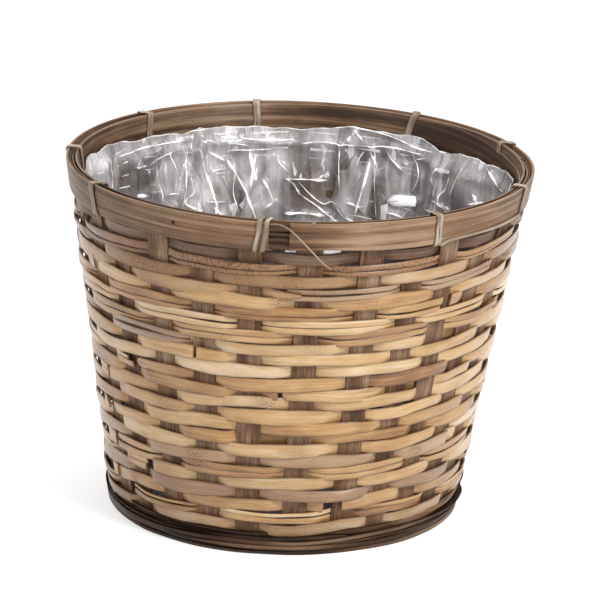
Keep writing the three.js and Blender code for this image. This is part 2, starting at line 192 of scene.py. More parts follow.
def way_along(points):
    """The length of the way to each of some points, from the first of them."""
    steps = np.linalg.norm(np.diff(points, axis=0), axis=1)
    return np.concatenate([[0], np.cumsum(steps)])


def smooth_through(values, ways):
    """A curve through values at 0, 1, 2 and so on, without corners."""
    values = np.array(values, dtype=float)
    before = np.clip(np.floor(ways).astype(int), 0, len(values) - 2)
    share = ways - before
    slope = np.gradient(values)
    square, cube = share**2, share**3
    start = values[before] * (2 * cube - 3 * square + 1) + slope[before] * (cube - 2 * square + share)
    finish = values[before + 1] * (3 * square - 2 * cube) + slope[before + 1] * (cube - square)
    return start + finish


# Split cane, rolled up from a flat sheet.
def rounded_section(count, outer_power, inner_power, inner_share):
    """The outline of a strip's section as shares of half its thickness and half its width."""
    turn = (np.arange(count) + 0.5) / count * TURN
    through, across = np.cos(turn), np.sin(turn)
    power = np.where(through > 0, outer_power, inner_power)
    depth = np.sign(through) * np.abs(through) ** power * np.where(through > 0, 1, inner_share)
    return depth, np.sign(across) * np.abs(across) ** 0.85


CANE_SECTION = rounded_section(12, 0.48, 0.35, 0.8)
HOOP_SECTION = rounded_section(20, 0.2, 0.2, 1.0)
SHEET_SIZE = 0.1
SHEET_STEP = 0.37  # from the grain of one strip to the grain of the next
MERGE_REACH = 1e-7


def strip_rings(azimuth, out, height, thickness, width, tilt=0.0, section=CANE_SECTION):
    """One ring of points for each step of a strip that lies along the wall."""
    depth, side = section
    one = np.ones_like(azimuth)
    through = np.outer(thickness * one, depth) / 2
    across = np.outer(width * one, side) / 2
    tilt = (tilt * one)[:, None]
    outs = (out * one)[:, None] + through * np.cos(tilt) + across * np.sin(tilt)
    heights = (height * one)[:, None] + across * np.cos(tilt) - through * np.sin(tilt)
    return on_wall(azimuth[:, None], outs, heights)


def sheet_strip(rings, tone, start):
    """A flat grid whose points are carried to the rings of one strip, still open along its seam."""
    steps, sides = rings.shape[:2]
    wrapped = np.concatenate([rings, rings[:, :1]], axis=1)
    along = way_along(rings[:, 0])
    around = way_along(wrapped[steps // 2])
    bpy.ops.mesh.primitive_grid_add(x_subdivisions=steps - 1, y_subdivisions=sides, size=SHEET_SIZE)
    sheet = bpy.context.object
    mesh = sheet.data
    mesh.vertices.foreach_set("co", wrapped.transpose(1, 0, 2).ravel())
    corner = np.empty(len(mesh.loops), dtype=np.int32)
    mesh.loops.foreach_get("vertex_index", corner)
    flat = np.stack([start + along[corner % steps], start + around[corner // steps]], axis=-1)
    mesh.uv_layers.active.data.foreach_set("uv", flat.ravel())
    colour = np.concatenate([tone, tone[:, :1]], axis=1).transpose(1, 0, 2)
    layer = mesh.color_attributes.new("tone", "FLOAT_COLOR", "POINT")
    layer.data.foreach_set("color", colour.ravel())
    return sheet


def give_to_body(piece, name, body, replaced):
    piece.name = name
    piece.data.name = name
    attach(piece, body)
    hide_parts(replaced)
    piece.select_set(False)


def roll_up(name, strips, material, body, replaced, sharp=50):
    """Makes one piece of a list of strips. Each strip is its rings and its tone at every point."""
    sheets = [sheet_strip(*strip, number * SHEET_STEP) for number, strip in enumerate(strips)]
    for sheet in sheets:
        sheet.select_set(True)
    bpy.context.view_layer.objects.active = sheets[0]
    if len(sheets) > 1:
        bpy.ops.object.join()
    piece = bpy.context.object
    bpy.ops.object.mode_set(mode="EDIT")
    bpy.ops.mesh.select_all(action="SELECT")
    bpy.ops.mesh.remove_doubles(threshold=MERGE_REACH)
    bpy.ops.mesh.fill_holes(sides=0)
    bpy.ops.mesh.select_all(action="SELECT")
    bpy.ops.mesh.normals_make_consistent(inside=False)
    bpy.ops.object.mode_set(mode="OBJECT")
    bpy.ops.object.shade_smooth_by_angle(angle=math.radians(sharp))
    piece.data.materials.append(material)
    give_to_body(piece, name, body, replaced)


def plain_tone(rings, tone, stain=0.0, shade=0.0, grey=0.0):
    """Tone, stain, shade and grey, each one value or one for each step along a strip."""
    values = np.empty(rings.shape[:2] + (4,))
    for channel, value in enumerate((tone, stain, shade, grey)):
        values[..., channel] = np.reshape(value, (-1, 1))
    return values


# Shader node helpers.
def new_material(name):
    material = bpy.data.materials.new(name)
    material.use_nodes = True
    material.node_tree.nodes.clear()
    return material, material.node_tree


def node(tree, kind, inputs=None, **settings):
    made = tree.nodes.new(kind)
    for key, value in settings.items():
        setattr(made, key, value)
    for key, value in (inputs or {}).items():
        socket = made.inputs[key]
        if isinstance(value, bpy.types.NodeSocket):
            tree.links.new(value, socket)
        else:
            socket.default_value = value
    return made


def maths(tree, operation, *values, clamp=False):
    inputs = dict(enumerate(values))
    return node(tree, "ShaderNodeMath", inputs, operation=operation, use_clamp=clamp).outputs[0]


def plus(tree, first, second, clamp=False):
    return maths(tree, "ADD", first, second, clamp=clamp)


def minus(tree, first, second):
    return maths(tree, "SUBTRACT", first, second)


def times(tree, first, second, clamp=False):
    return maths(tree, "MULTIPLY", first, second, clamp=clamp)


def either(tree, choice, first, second):
    """The first value where the choice is 0, and the second where it is 1."""
    inputs = {"Factor": choice, 2: first, 3: second}
    return node(tree, "ShaderNodeMix", inputs, data_type="FLOAT").outputs[0]


def mixed(tree, share, first, second, blend="MIX"):
    """A colour or vector between two others."""
    inputs = {"Factor": share, 6: first, 7: second}
    made = node(tree, "ShaderNodeMix", inputs, data_type="RGBA", blend_type=blend)
    return made.outputs[2]


def spread(tree, value, low, high, to_low=0.0, to_high=1.0):
    inputs = {"Value": value, "From Min": low, "From Max": high, "To Min": to_low, "To Max": to_high}
    return node(tree, "ShaderNodeMapRange", inputs).outputs[0]


def scaled(tree, vector, scale):
    inputs = {"Vector": vector, "Scale": scale}
    return node(tree, "ShaderNodeMapping", inputs, vector_type="POINT").outputs[0]


def noise(tree, vector, detail=3.0):
    inputs = {"Vector": vector, "Scale": 1.0, "Detail": detail, "Roughness": 0.55}
    return node(tree, "ShaderNodeTexNoise", inputs).outputs["Fac"]


def cell_colours(tree, vector):
    """Three random values for each cell of a pattern of cells one unit wide."""
    colour = node(tree, "ShaderNodeTexVoronoi", {"Vector": vector, "Scale": 1.0}).outputs["Color"]
    return node(tree, "ShaderNodeSeparateColor", {0: colour}).outputs


def cell_edges(tree, vector):
    """The distance to the edge of such a cell."""
    inputs = {"Vector": vector, "Scale": 1.0}
    return node(tree, "ShaderNodeTexVoronoi", inputs, feature="DISTANCE_TO_EDGE").outputs["Distance"]


def bumped(tree, height, distance, **more):
    return node(tree, "ShaderNodeBump", {"Height": height, "Distance": distance, **more}).outputs[0]


def object_place(tree):
    return node(tree, "ShaderNodeTexCoord").outputs["Object"]


def separated(tree, place):
    return node(tree, "ShaderNodeSeparateXYZ", {0: place}).outputs


def own_tone(tree):
    """The four channels of a piece's tone: red, green, blue and alpha."""
    layer = node(tree, "ShaderNodeVertexColor", layer_name="tone").outputs
    return [*node(tree, "ShaderNodeSeparateColor", {0: layer[0]}).outputs, layer[1]]


def finished(material, inputs):
    """Ends a material in one shader with these inputs."""
    tree = material.node_tree
    shader = node(tree, "ShaderNodeBsdfPrincipled", inputs)
    outlet = node(tree, "ShaderNodeOutputMaterial")
    tree.links.new(shader.outputs[0], outlet.inputs[0])
    return material


def linear(red, green, blue):
    """A colour given in 0 to 255 as it shows on a screen."""

    def channel(value):
        value = value / 255
        return value / 12.92 if value <= 0.04045 else ((value + 0.055) / 1.055) ** 2.4

    return (channel(red), channel(green), channel(blue), 1.0)


# Finishes of split cane and bamboo.
GRAIN_NOISES = [
    # name, how fine along and across the fibres in a metre, detail
    ("Coarse", 14, 700, 3),
    ("Fine", 60, 3200, 2),
    ("Cloud", 38, 120, 3),
    ("Fleck", 620, 900, 2),
    ("Band", 6, 260, 3),
]


def grain_group():
    """Long fibres of split cane. Along and Across are metres, and the fibres run along."""
    group = bpy.data.node_groups.new("cane_grain", "ShaderNodeTree")
    for name in ("Along", "Across"):
        group.interface.new_socket(name, in_out="INPUT", socket_type="NodeSocketFloat")
    for name, *_ in GRAIN_NOISES:
        group.interface.new_socket(name, in_out="OUTPUT", socket_type="NodeSocketFloat")
    inlet = node(group, "NodeGroupInput")
    outlet = node(group, "NodeGroupOutput")
    lie = node(group, "ShaderNodeCombineXYZ", {"X": inlet.outputs[0], "Y": inlet.outputs[1]}).outputs[0]
    for number, (_, along, across, detail) in enumerate(GRAIN_NOISES):
        made = noise(group, scaled(group, lie, (along, across, 1)), detail)
        group.links.new(made, outlet.inputs[number])
    return group


GRAIN = grain_group()


def grain_at(tree, along, across):
    return node(tree, "ShaderNodeGroup", {"Along": along, "Across": across}, node_tree=GRAIN).outputs


def finish_cane(
    material,
    tone,
    grain,
    colours,
    dirt,
    stain,
    roughness=0.45,
    strength=0.7,
    streaks=0.5,
    bump=0.00008,
    coat=0.0,
    bands=0.0,
    ripple=0.0,
    cracks=0.0,
    specular=0.3,
):
    """Colours cane by its tone and its grain, then weathers and stains it, and darkens it with splits, dirt
    and painted shade.

    The tone has a level that runs through the colours, and shares of stain, of dirt with painted shade,
    and of grey."""
    tree = material.node_tree
    coarse, fine, cloud, fleck, band = grain
    level, stain_share, dirt_share, grey_share = tone

    def swing(value, size):
        return times(tree, minus(tree, value, 0.5), size)

    fibres = plus(tree, times(tree, coarse, 1 - streaks), times(tree, fine, streaks))
    level = plus(tree, level, swing(fibres, strength))
    broad = plus(tree, swing(cloud, strength * 0.7), swing(band, bands))
    level = plus(tree, level, broad, clamp=True)
    ramp = node(tree, "ShaderNodeValToRGB", {0: level})
    elements = ramp.color_ramp.elements
    while len(elements) < len(colours):
        elements.new(0.5)
    for number, colour in enumerate(colours):
        elements[number].position = number / (len(colours) - 1)
        elements[number].color = linear(*colour)
    colour = mixed(tree, grey_share, ramp.outputs[0], linear(*WEATHERED))
    patchy = times(tree, stain_share, spread(tree, cloud, 0.35, 0.65, 0.15, 0.85), clamp=True)
    colour = mixed(tree, patchy, colour, linear(*stain[0]))
    speckled = times(tree, spread(tree, fleck, 0.51, 0.56), stain_share, clamp=True)
    colour = mixed(tree, speckled, colour, linear(*stain[1]))
    splits = times(tree, spread(tree, coarse, 0.58, 0.68), cracks)
    # Where dirt and painted shade darken the cane, and its splits.
    shade_dirt_and_splits = times(tree, dirt_share, spread(tree, coarse, 0.3, 0.7, 0.8, 1.1), clamp=True)
    shade_dirt_and_splits = maths(tree, "MAXIMUM", shade_dirt_and_splits, splits)
    relief = bumped(tree, fibres, bump)
    if ripple:
        relief = bumped(tree, cloud, ripple, Normal=relief)
    inputs = {
        "Base Color": mixed(tree, shade_dirt_and_splits, colour, linear(*dirt)),
        "Roughness": spread(tree, fibres, 0.3, 0.7, roughness + 0.08, roughness - 0.06),
        "Normal": relief,
        "Coat Weight": coat,
        "Coat Roughness": 0.22,
        "Specular IOR Level": times(tree, minus(tree, 1.0, shade_dirt_and_splits), specular),
    }
    return finished(material, inputs)


def cane_finish(name, **looks):
    """A finish that reads the piece's own UV map, and its tone at each point."""
    material, tree = new_material(name)
    lie = separated(tree, node(tree, "ShaderNodeUVMap", uv_map="UVMap").outputs[0])
    return finish_cane(material, own_tone(tree), grain_at(tree, lie[0], lie[1]), **looks)


GOLDEN = [(112, 69, 32), (166, 118, 67), (197, 152, 95), (217, 179, 127), (235, 208, 170)]
GREY_BROWN = [(48, 32, 20), (96, 70, 50), (136, 105, 80), (176, 152, 126)]
DARK_BROWN = [(18, 9, 3), (54, 34, 19), (104, 74, 50), (160, 128, 102)]
BAND_BROWN = [(66, 44, 30), (106, 79, 60), (146, 119, 101), (172, 148, 132)]
RIM_BROWN = [(72, 48, 28), (108, 79, 54), (140, 108, 80), (170, 140, 112)]
INNER_BROWN = [(48, 30, 18), (80, 55, 36), (116, 88, 64), (150, 124, 98)]
PALE_LACE = [(100, 82, 64), (146, 128, 108), (180, 163, 143), (206, 194, 178)]
WEATHERED = (158, 132, 112)
DARK_STAIN = [(84, 58, 40), (24, 14, 8)]

golden_rattan = cane_finish(
    "golden_rattan",
    colours=GOLDEN,
    dirt=(78, 44, 18),
    stain=[(150, 90, 46), (72, 38, 18)],
    roughness=0.38,
    strength=1.15,
    streaks=0.35,
    bump=0.00018,
    coat=0.5,
    bands=0.3,
    ripple=0.0016,
    cracks=0.42,
    specular=0.5,
)
dark_cane = cane_finish(
    "dark_cane",
    colours=DARK_BROWN,
    dirt=(12, 6, 3),
    stain=DARK_STAIN,
    strength=1.1,
    specular=0.25,
)
band_bamboo = cane_finish(
    "band_bamboo",
    colours=BAND_BROWN,
    dirt=(40, 26, 16),
    stain=[(112, 82, 60), (52, 34, 22)],
    strength=0.9,
    bands=1.0,
)
rim_bamboo = cane_finish(
    "rim_bamboo",
    colours=RIM_BROWN,
    dirt=(44, 29, 18),
    stain=[(96, 64, 38), (46, 28, 18)],
    streaks=0.35,
    strength=1.2,
    bands=2.8,
    coat=0.1,
)
inner_bamboo = cane_finish(
    "inner_bamboo",
    colours=INNER_BROWN,
    dirt=(34, 22, 13),
    stain=[(74, 48, 28), (36, 22, 14)],
    streaks=0.3,
    strength=1.2,
    bands=2.4,
    coat=0.05,
)
lace_cane = cane_finish(
    "lace_cane",
    colours=PALE_LACE,
    dirt=(84, 66, 50),
    stain=[(140, 120, 98), (90, 70, 54)],
    roughness=0.5,
    strength=0.6,
)


# Finishes of the solids that stay: the splints and the cane round their spokes.
def turn_about(tree, straight_x, y):
    return maths(tree, "ARCTAN2", straight_x, times(tree, y, -1.0))


def stake_finish(name, grain_along_y):
    """Grey-brown bamboo with fine fibres that climb the wall, and run out flat under the base."""
    material, tree = new_material(name)
    place = object_place(tree)
    x, y, z = separated(tree, place)
    shift = maths(tree, "MULTIPLY_ADD", z, RIM_SHIFT / BASKET_HEIGHT, -RIM_SHIFT)
    turn = turn_about(tree, minus(tree, x, shift), y)
    around = times(tree, turn, (STAKE_RADIUS_AT_FOOT + STAKE_RADIUS_AT_TOP) / 2)
    is_wall = maths(tree, "GREATER_THAN", z, FOOT_HOOP_HEIGHT)
    flat_along, flat_across = (y, x) if grain_along_y else (x, y)
    along = either(tree, is_wall, flat_along, z)
    across = either(tree, is_wall, flat_across, around)
    level = spread(tree, noise(tree, scaled(tree, place, (55, 55, 9)), 2), 0.3, 0.7, 0.26, 0.82)
    return finish_cane(
        material,
        (level, 0.0, 0.0, 0.0),
        grain_at(tree, along, times(tree, across, 0.5)),
        colours=GREY_BROWN,
        dirt=(30, 20, 12),
        stain=[(90, 66, 50), (40, 28, 20)],
        roughness=0.5,
        strength=1.8,
        streaks=0.65,
        bump=0.00012,
        specular=0.2,
    )


def base_finish():
    """Dark cane laid in rings, so its fibres run round the middle of the base."""
    material, tree = new_material("base_cane_dark")
    x, y, z = separated(tree, object_place(tree))
    straight_x = plus(tree, x, RIM_SHIFT)
    around = times(tree, turn_about(tree, straight_x, y), STAKE_RADIUS_AT_FOOT / 2)
    squares = plus(tree, maths(tree, "POWER", straight_x, 2.0), maths(tree, "POWER", y, 2.0))
    radius = maths(tree, "SQRT", squares)
    return finish_cane(
        material,
        (0.45, 0.0, 0.0, 0.0),
        grain_at(tree, around, plus(tree, radius, z)),
        colours=DARK_BROWN,
        dirt=(14, 8, 4),
        stain=DARK_STAIN,
        strength=1.0,
    )


def dress(start, material):
    """Gives a finish to each solid whose name starts so."""
    for name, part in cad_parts.items():
        if name.startswith(start):
            part.data.materials.clear()
            part.data.materials.append(material)


dress("splint_front", stake_finish("stake_bamboo_front_to_back", True))
dress("splint_side", stake_finish("stake_bamboo_side_to_side", False))
dress("base_cane", base_finish())


# Golden weavers: one long spiral, over two stakes and under one.
STEPS_PER_PASS = 11
FLOAT_COUNT = WEAVER_ROUND_COUNT * STAKE_COUNT // TWILL_COUNT + 4
BEHIND_SHARE = 0.15  # of half a stake, after which the weaver starts to come out from behind it
QUICK_SHARE = 0.8  # of the way on to the edge of the next stake, in which it comes out
SEAT_AWAY = STAKE_THICKNESS / 2 + SEAT_GAP + WEAVER_THICKNESS / 2 + 0.0002
WIDTH_UNDER = 0.0080
WIDTH_BELLY = 0.0009
WIDTH_HIDDEN = 0.0024
LANE_SHARE = 0.97  # of the width of its row, which a pair of thin strands fills
POINT_LENGTH = 0.016  # of a strand's end that is cut to a point
ROUND_LENGTH = 0.0025
TUCK_LENGTH = 0.018  # over which a strand's end goes in or out
# Painted shade on the weavers: behind the stakes, along their edges together with dirt, at the foot and
# under the rim.
HIDDEN_SHADE = 0.30
EDGE_SHADE = 0.85
FOOT_SHADE = 0.5
FOOT_SHADE_TOP = 0.026
FOOT_SHADE_RISE = 0.012
RIM_SHADE = 0.38
RIM_SHADE_BOTTOM = 0.172
RIM_SHADE_RISE = 0.016
RIM_LIGHT = 0.22  # how much less the shade is where the rim is lit, round an azimuth in degrees
RIM_LIGHT_AT = 38
RIM_LIGHT_REACH = 24
SPIRAL_START = 6.0
SPIRAL_END = WEAVER_ROUND_COUNT * STAKE_COUNT - 8.0
LEAST_STRAND = 6
DOUBLE_SHARE = 0.24
WEATHERED_SHARE = 0.17
TUCKED_SHARE = 0.45
HIDDEN_START = -0.30  # in passes, from the end of one strand to the start of the next
TUCKED_START = -0.26
SHOWN_START = 0.03
HIDDEN_FINISH = 0.25  # in passes, past the end of a strand
TUCKED_OUT = -0.0015  # how far out of its place an end lies
START_OUT = -0.0002
FINISH_OUT = 0.0005
ROW_DRIFT = (0.0008, 5.0)  # reaches in passes
STRAND_WIDTH_DRIFT = (0.09, 0.3)
STRAND_HEIGHT_DRIFT = (0.0004, 0.45)
STRAND_TILT_DRIFT = (0.08, 0.4)
STRAND_TONE_DRIFT = (0.12, 0.8)
LANE_HEIGHT_DRIFT = (0.0005, 1.1)
LANE_OUT_DRIFT = (0.0005, 1.7)
LANE_WIDTH_DRIFT = (0.18, 1.4)
# Passes where the weaver slips behind one stake more.
SLIPS = [(17, 6), (13, 6), (9, 2), (20, 25), (6, 20), (11, 14), (16, 11), (21, 17)]
STAINS = [
    # azimuth in degrees, height, reach in degrees, reach in height, amount
    (-22, 0.196, 22, 0.006, 0.9),
    (6, 0.197, 12, 0.006, 1.0),
    (30, 0.197, 18, 0.005, 0.55),
    (-40, 0.188, 10, 0.005, 0.5),
    (62, 0.186, 14, 0.008, 0.7),
    (-62, 0.192, 14, 0.006, 0.6),
    (150, 0.196, 30, 0.006, 0.8),
    (-140, 0.197, 26, 0.005, 0.7),
    (95, 0.196, 20, 0.006, 0.6),
    (20, 0.150, 5, 0.003, 0.5),
    (-8, 0.121, 4, 0.003, 0.4),
    (170, 0.090, 6, 0.004, 0.5),
    (-110, 0.120, 6, 0.004, 0.5),
    (-10, 0.014, 30, 0.005, 0.5),
    (50, 0.014, 25, 0.005, 0.5),
    (-60, 0.013, 25, 0.006, 0.8),
]
SMALL_STAIN_COUNT = 110

rng = np.random.default_rng(7)
float_width = rng.normal(1.0, 0.13, FLOAT_COUNT).clip(0.74, 1.28)
float_bulge = rng.uniform(0.0002, 0.0019, FLOAT_COUNT)
float_lift = rng.normal(0, 0.0006, FLOAT_COUNT).clip(-0.0012, 0.0012)
float_skew = rng.normal(-0.0003, 0.0006, FLOAT_COUNT).clip(-0.0014, 0.0010)
float_tilt = rng.normal(-0.03, 0.15, FLOAT_COUNT).clip(-0.3, 0.28)
float_tone = rng.normal(0, 0.11, FLOAT_COUNT)
row_drift = wander(rng, np.arange(WEAVER_ROUND_COUNT * STAKE_COUNT + 1) * 1.0, *ROW_DRIFT)
slipped = np.array([rounds * STAKE_COUNT + stake for rounds, stake in SLIPS])


def outside_at(passes):
    under = (np.mod(passes, TWILL_COUNT) == 0) | np.isin(passes, slipped)
    return np.where(under, -1.0, 1.0)


def side_of_wall(passes):
    """1 outside a stake, -1 inside, changing over in the gap between two stakes."""
    before = np.floor(passes)
    share = passes - before
    outside = outside_at(before)
    outside_next = outside_at(before + 1)
    gap = pass_azimuth(before + 1) - pass_azimuth(before)
    stake_share = STAKE_WIDTH / 2 / (MIDDLE_RADIUS * gap)
    from_inside = np.where(outside < outside_next, share, 1 - share)
    way = (from_inside - BEHIND_SHARE * stake_share) / ((1 - stake_share * (1 + BEHIND_SHARE)) * QUICK_SHARE)
    changing = 2 * smooth(way) - 1
    return np.where(outside == outside_next, outside, changing)


def all_stains():
    """The broad stains, and a scatter of small ones."""
    draw = np.random.default_rng(8)
    stains = list(STAINS)
    for _ in range(SMALL_STAIN_COUNT):
        at, level = draw.uniform(-180, 180), draw.uniform(0.02, 0.19)
        reach, rise = draw.uniform(1.2, 4.5), draw.uniform(0.0012, 0.0032)
        stains.append((at, level, reach, rise, draw.uniform(0.3, 1.0)))
    return stains


ALL_STAINS = all_stains()


def stain_at(azimuth, height):
    amount = np.zeros_like(azimuth)
    for at, level, reach, rise, strength in ALL_STAINS:
        near = hump(degrees_from(azimuth, at), reach) * hump(height - level, rise)
        amount = np.maximum(amount, strength * near)
    return amount


def weave_shade(azimuth, height, side):
    """Painted shade behind the stakes, at the foot and under the rim where the hoop casts its shadow, less
    where the rim is lit, and dirt with painted shade along both edges.
    """
    lit = RIM_LIGHT * hump(np.degrees(azimuth) % 360 - RIM_LIGHT_AT, RIM_LIGHT_REACH)
    under_rim = (RIM_SHADE - lit) * smooth((height - RIM_SHADE_BOTTOM) / RIM_SHADE_RISE)
    at_foot = FOOT_SHADE * np.clip((FOOT_SHADE_TOP - height) / FOOT_SHADE_RISE, 0, 1)
    hidden = 0.04 + HIDDEN_SHADE * np.clip(-side, 0, 1)
    edges = EDGE_SHADE * np.abs(CANE_SECTION[1]) ** 7
    return np.clip((hidden + at_foot + under_rim)[:, None] + edges[None, :], 0, 1)


def weaver_rings(first, last, tone, grey, lane, lane_share, ends, sink):
    """A stretch of the spiral from one pass to another.

    A lane is the upper or lower part of a row, 1 or -1, or the whole row, 0. Each end has its cut, and how
    far out of its place it lies."""
    count = max(8, int(round((last - first) * STEPS_PER_PASS)))
    passes = np.linspace(first, last, count + 1)
    number = np.clip(np.floor(passes / TWILL_COUNT).astype(int), 0, FLOAT_COUNT - 1)
    phase = np.mod(passes, TWILL_COUNT) / TWILL_COUNT
    belly = np.sin(math.pi * phase) ** 1.6
    azimuth = pass_azimuth(passes)
    rounds = passes / STAKE_COUNT
    low = WEAVER_BOTTOM + WEAVER_PITCH * np.maximum(0, rounds - 1)
    high = WEAVER_BOTTOM + WEAVER_PITCH * np.minimum(rounds, WEAVER_ROUND_COUNT - 1) - ROW_GAP
    room = np.clip((high - low) / (WEAVER_PITCH - ROW_GAP), 0.05, 1)
    side = side_of_wall(passes)
    full = (WIDTH_UNDER + WIDTH_BELLY * belly) * (1 + (float_width[number] - 1) * belly)
    full = (full + WIDTH_HIDDEN * np.clip((0.4 - side) / 1.4, 0, 1)) * room
    out = side * SEAT_AWAY + float_bulge[number] * belly * np.clip(side, 0, 1)
    skew = float_skew[number] * np.sin(TURN * phase)
    drift = np.interp(passes, np.arange(len(row_drift)), row_drift) * room
    height = (low + high) / 2 + float_lift[number] * belly + skew + drift
    height = height + lane * full / 2 * (1 - lane_share)
    rough = np.random.default_rng(int(first * 5) + 11)
    width = full * lane_share * (1 + wander(rough, passes, *STRAND_WIDTH_DRIFT))
    height = height + wander(rough, passes, *STRAND_HEIGHT_DRIFT)
    tilt = float_tilt[number] * belly + wander(rough, passes, *STRAND_TILT_DRIFT)
    if lane:
        draw = np.random.default_rng(int(first * 10 + lane * 3 + 50))
        height = height + wander(draw, passes, *LANE_HEIGHT_DRIFT)
        out = out + wander(draw, passes, *LANE_OUT_DRIFT)
        width = width * (1 + wander(draw, passes, *LANE_WIDTH_DRIFT))
    step_length = STAKE_PITCH * MIDDLE_RADIUS
    near_ends = ((passes - first) * step_length, (last - passes) * step_length)
    for kind, near, lower in zip(ends, near_ends, sink):
        if kind == "point":
            width = width * (0.22 + 0.78 * np.clip(near / POINT_LENGTH, 0, 1) ** 0.8)
        if kind == "round":
            width = width * (0.45 + 0.55 * np.sqrt(np.clip(near / ROUND_LENGTH, 0, 1)))
        out = out + lower * (1 - smooth(near / TUCK_LENGTH))
    rings = strip_rings(azimuth, out, height, WEAVER_THICKNESS * (0.85 + 0.15 * lane_share), width, tilt)
    draw = np.random.default_rng(int(first * 7) + 3)
    own = tone + float_tone[number] + wander(draw, passes, *STRAND_TONE_DRIFT)
    values = plain_tone(rings, own, stain_at(azimuth, height), grey=grey)
    values[..., 2] = weave_shade(azimuth, height, side)
    return rings, values


def plan_strands():
    """Where the strands of the spiral begin and end, and where a row is laid of two thinner ones."""
    draw = np.random.default_rng(21)
    strands = []
    at = SPIRAL_START
    while at < SPIRAL_END:
        stop = min(at + draw.uniform(7, 21), SPIRAL_END)
        if SPIRAL_END - stop < LEAST_STRAND:
            stop = SPIRAL_END
        else:
            float_start = TWILL_COUNT * math.floor(stop / TWILL_COUNT)
            stop = float_start + draw.choice([0.0, 0.9, 1.15, 1.5, 1.85, 2.2])
        weathered = draw.random() < WEATHERED_SHARE
        grey = draw.uniform(0.45, 0.95) if weathered else draw.uniform(0, 0.15)
        tone = draw.choice([draw.uniform(0.3, 0.44), draw.uniform(0.45, 0.6), draw.uniform(0.56, 0.78)])
        strands.append((at, stop, draw.random() < DOUBLE_SHARE, tone, grey))
        at = stop
    return strands


def golden_strips():
    """Lays each strand. An end lies behind a stake, or shows and is tucked under the next, or cut short."""
    draw = np.random.default_rng(33)
    strips = []
    for first, last, double, tone, grey in plan_strands():
        start_shows = first % TWILL_COUNT > 0.5
        finish_shows = last % TWILL_COUNT > 0.5
        tucked = draw.random() < TUCKED_SHARE and start_shows
        shown_start = TUCKED_START if tucked else SHOWN_START
        begin = first + (shown_start if start_shows else HIDDEN_START)
        short = draw.choice([0.02, 0.04, 0.12, 0.35])
        finish = last + (-short if finish_shows else HIDDEN_FINISH)
        sink = (TUCKED_OUT if tucked else START_OUT, FINISH_OUT if finish_shows else 0.0)
        ends = ("round" if draw.random() < 0.3 else "square", "point" if draw.random() < 0.14 else "square")
        if double:
            split = draw.uniform(0.36, 0.64)
            for lane, share in ((-1, split), (1, 1 - split)):
                stop = finish + draw.uniform(-0.15, 0.15)
                own = tone + draw.normal(0, 0.08)
                strips.append(weaver_rings(begin, stop, own, grey, lane, share * LANE_SHARE, ends, sink))
        else:
            strips.append(weaver_rings(begin, finish, tone, grey, 0, 1.0, ends, sink))
    return strips


def make_weavers():
    strips = golden_strips()
    share = len(strips) / WEAVER_COUNT
    for number in range(WEAVER_COUNT):
        mine = strips[round(number * share) : round((number + 1) * share)]
        weaver = f"weaver_{number + 1:02d}"
        roll_up(f"golden_{weaver}", mine, golden_rattan, "basket", weaver)


make_weavers()


# The dark band under the rim, over one stake and under one.
BAND_SAG = 0.0013
BAND_SAGS_AT = 6.0
BAND_SAG_REACH = 9.0
BAND_HEIGHT_DRIFT = (0.0007, 1.9)
BAND_WIDTH_DRIFT = (0.08, 2.7)
BAND_TONE_DRIFT = (0.4, 3.1)


def make_band():
    passes = np.linspace(0, STAKE_COUNT - 0.05, STAKE_COUNT * 10)
    azimuth = pass_azimuth(passes)
    before = np.floor(passes)
    share = passes - before
    outside = np.where(np.mod(before, 2) == 1, 1.0, -1.0)
    gap = pass_azimuth(before + 1) - pass_azimuth(before)
    stake_share = STAKE_WIDTH / 2 / (stake_radius(BAND_BOTTOM) * gap)
    side = outside - 2 * outside * smooth((share - stake_share) / (1 - 2 * stake_share))
    away = STAKE_THICKNESS / 2 + SEAT_GAP + BAND_THICKNESS / 2
    draw = np.random.default_rng(5)
    height = (BAND_BOTTOM + BAND_TOP) / 2 + wander(draw, passes, *BAND_HEIGHT_DRIFT)
    height = height - BAND_SAG * hump(np.degrees(azimuth) - BAND_SAGS_AT, BAND_SAG_REACH)
    width = BAND_HEIGHT * (1 + wander(draw, passes, *BAND_WIDTH_DRIFT))
    rings = strip_rings(azimuth, side * away, height, BAND_THICKNESS, width, section=HOOP_SECTION)
    values = plain_tone(rings, 0.55 + wander(draw, passes, *BAND_TONE_DRIFT), 0.2)
    # Painted shade where the band passes behind the stakes, and dirt with painted shade along its edges.
    values[..., 2] = 0.35 * np.clip(-side, 0, 1)[:, None] + 0.4 * np.abs(HOOP_SECTION[1])[None, :] ** 6
    roll_up("rim_band_woven", [(rings, values)], band_bamboo, "basket", "rim_band")


make_band()


# Thin dark strips that cross each other at the foot, and those of the hoop below them.
FOOT_STRIP_THICKNESS = 0.0012
FOOT_STRIP_TIP = 0.12  # the turn over which an end grows to full width
FOOT_OUT_DRIFT = (0.0009, 0.2)
FOOT_TILT_DRIFT = (0.5, 0.35)
FOOT_WIDTH_DRIFT = (0.3, 0.5)
FOOT_TONE_DRIFT = (0.6, 0.5)
FOOT_STRIPS = [
    # start in degrees, run in degrees, height, width, out
    (-170, 330, 0.0150, 0.0046, 0.0024),
    (-60, 300, 0.0122, 0.0052, 0.0020),
    (40, 340, 0.0100, 0.0040, 0.0036),
    (150, 320, 0.0078, 0.0050, 0.0024),
    (-110, 340, 0.0064, 0.0046, 0.0036),
    (100, 350, 0.0090, 0.0036, 0.0046),
]
FOOT_HEIGHT_DRIFT = (0.0030, 0.5)
FOOT_HOOP_FIRST_NUMBER = 20
FOOT_HOOP_STRIPS = [
    (-140, 355, 0.0018, 0.0034, 0.0038),
    (20, 355, 0.0040, 0.0036, 0.0032),
    (-30, 350, 0.0056, 0.0032, 0.0044),
]
FOOT_HOOP_HEIGHT_DRIFT = (0.0008, 0.5)


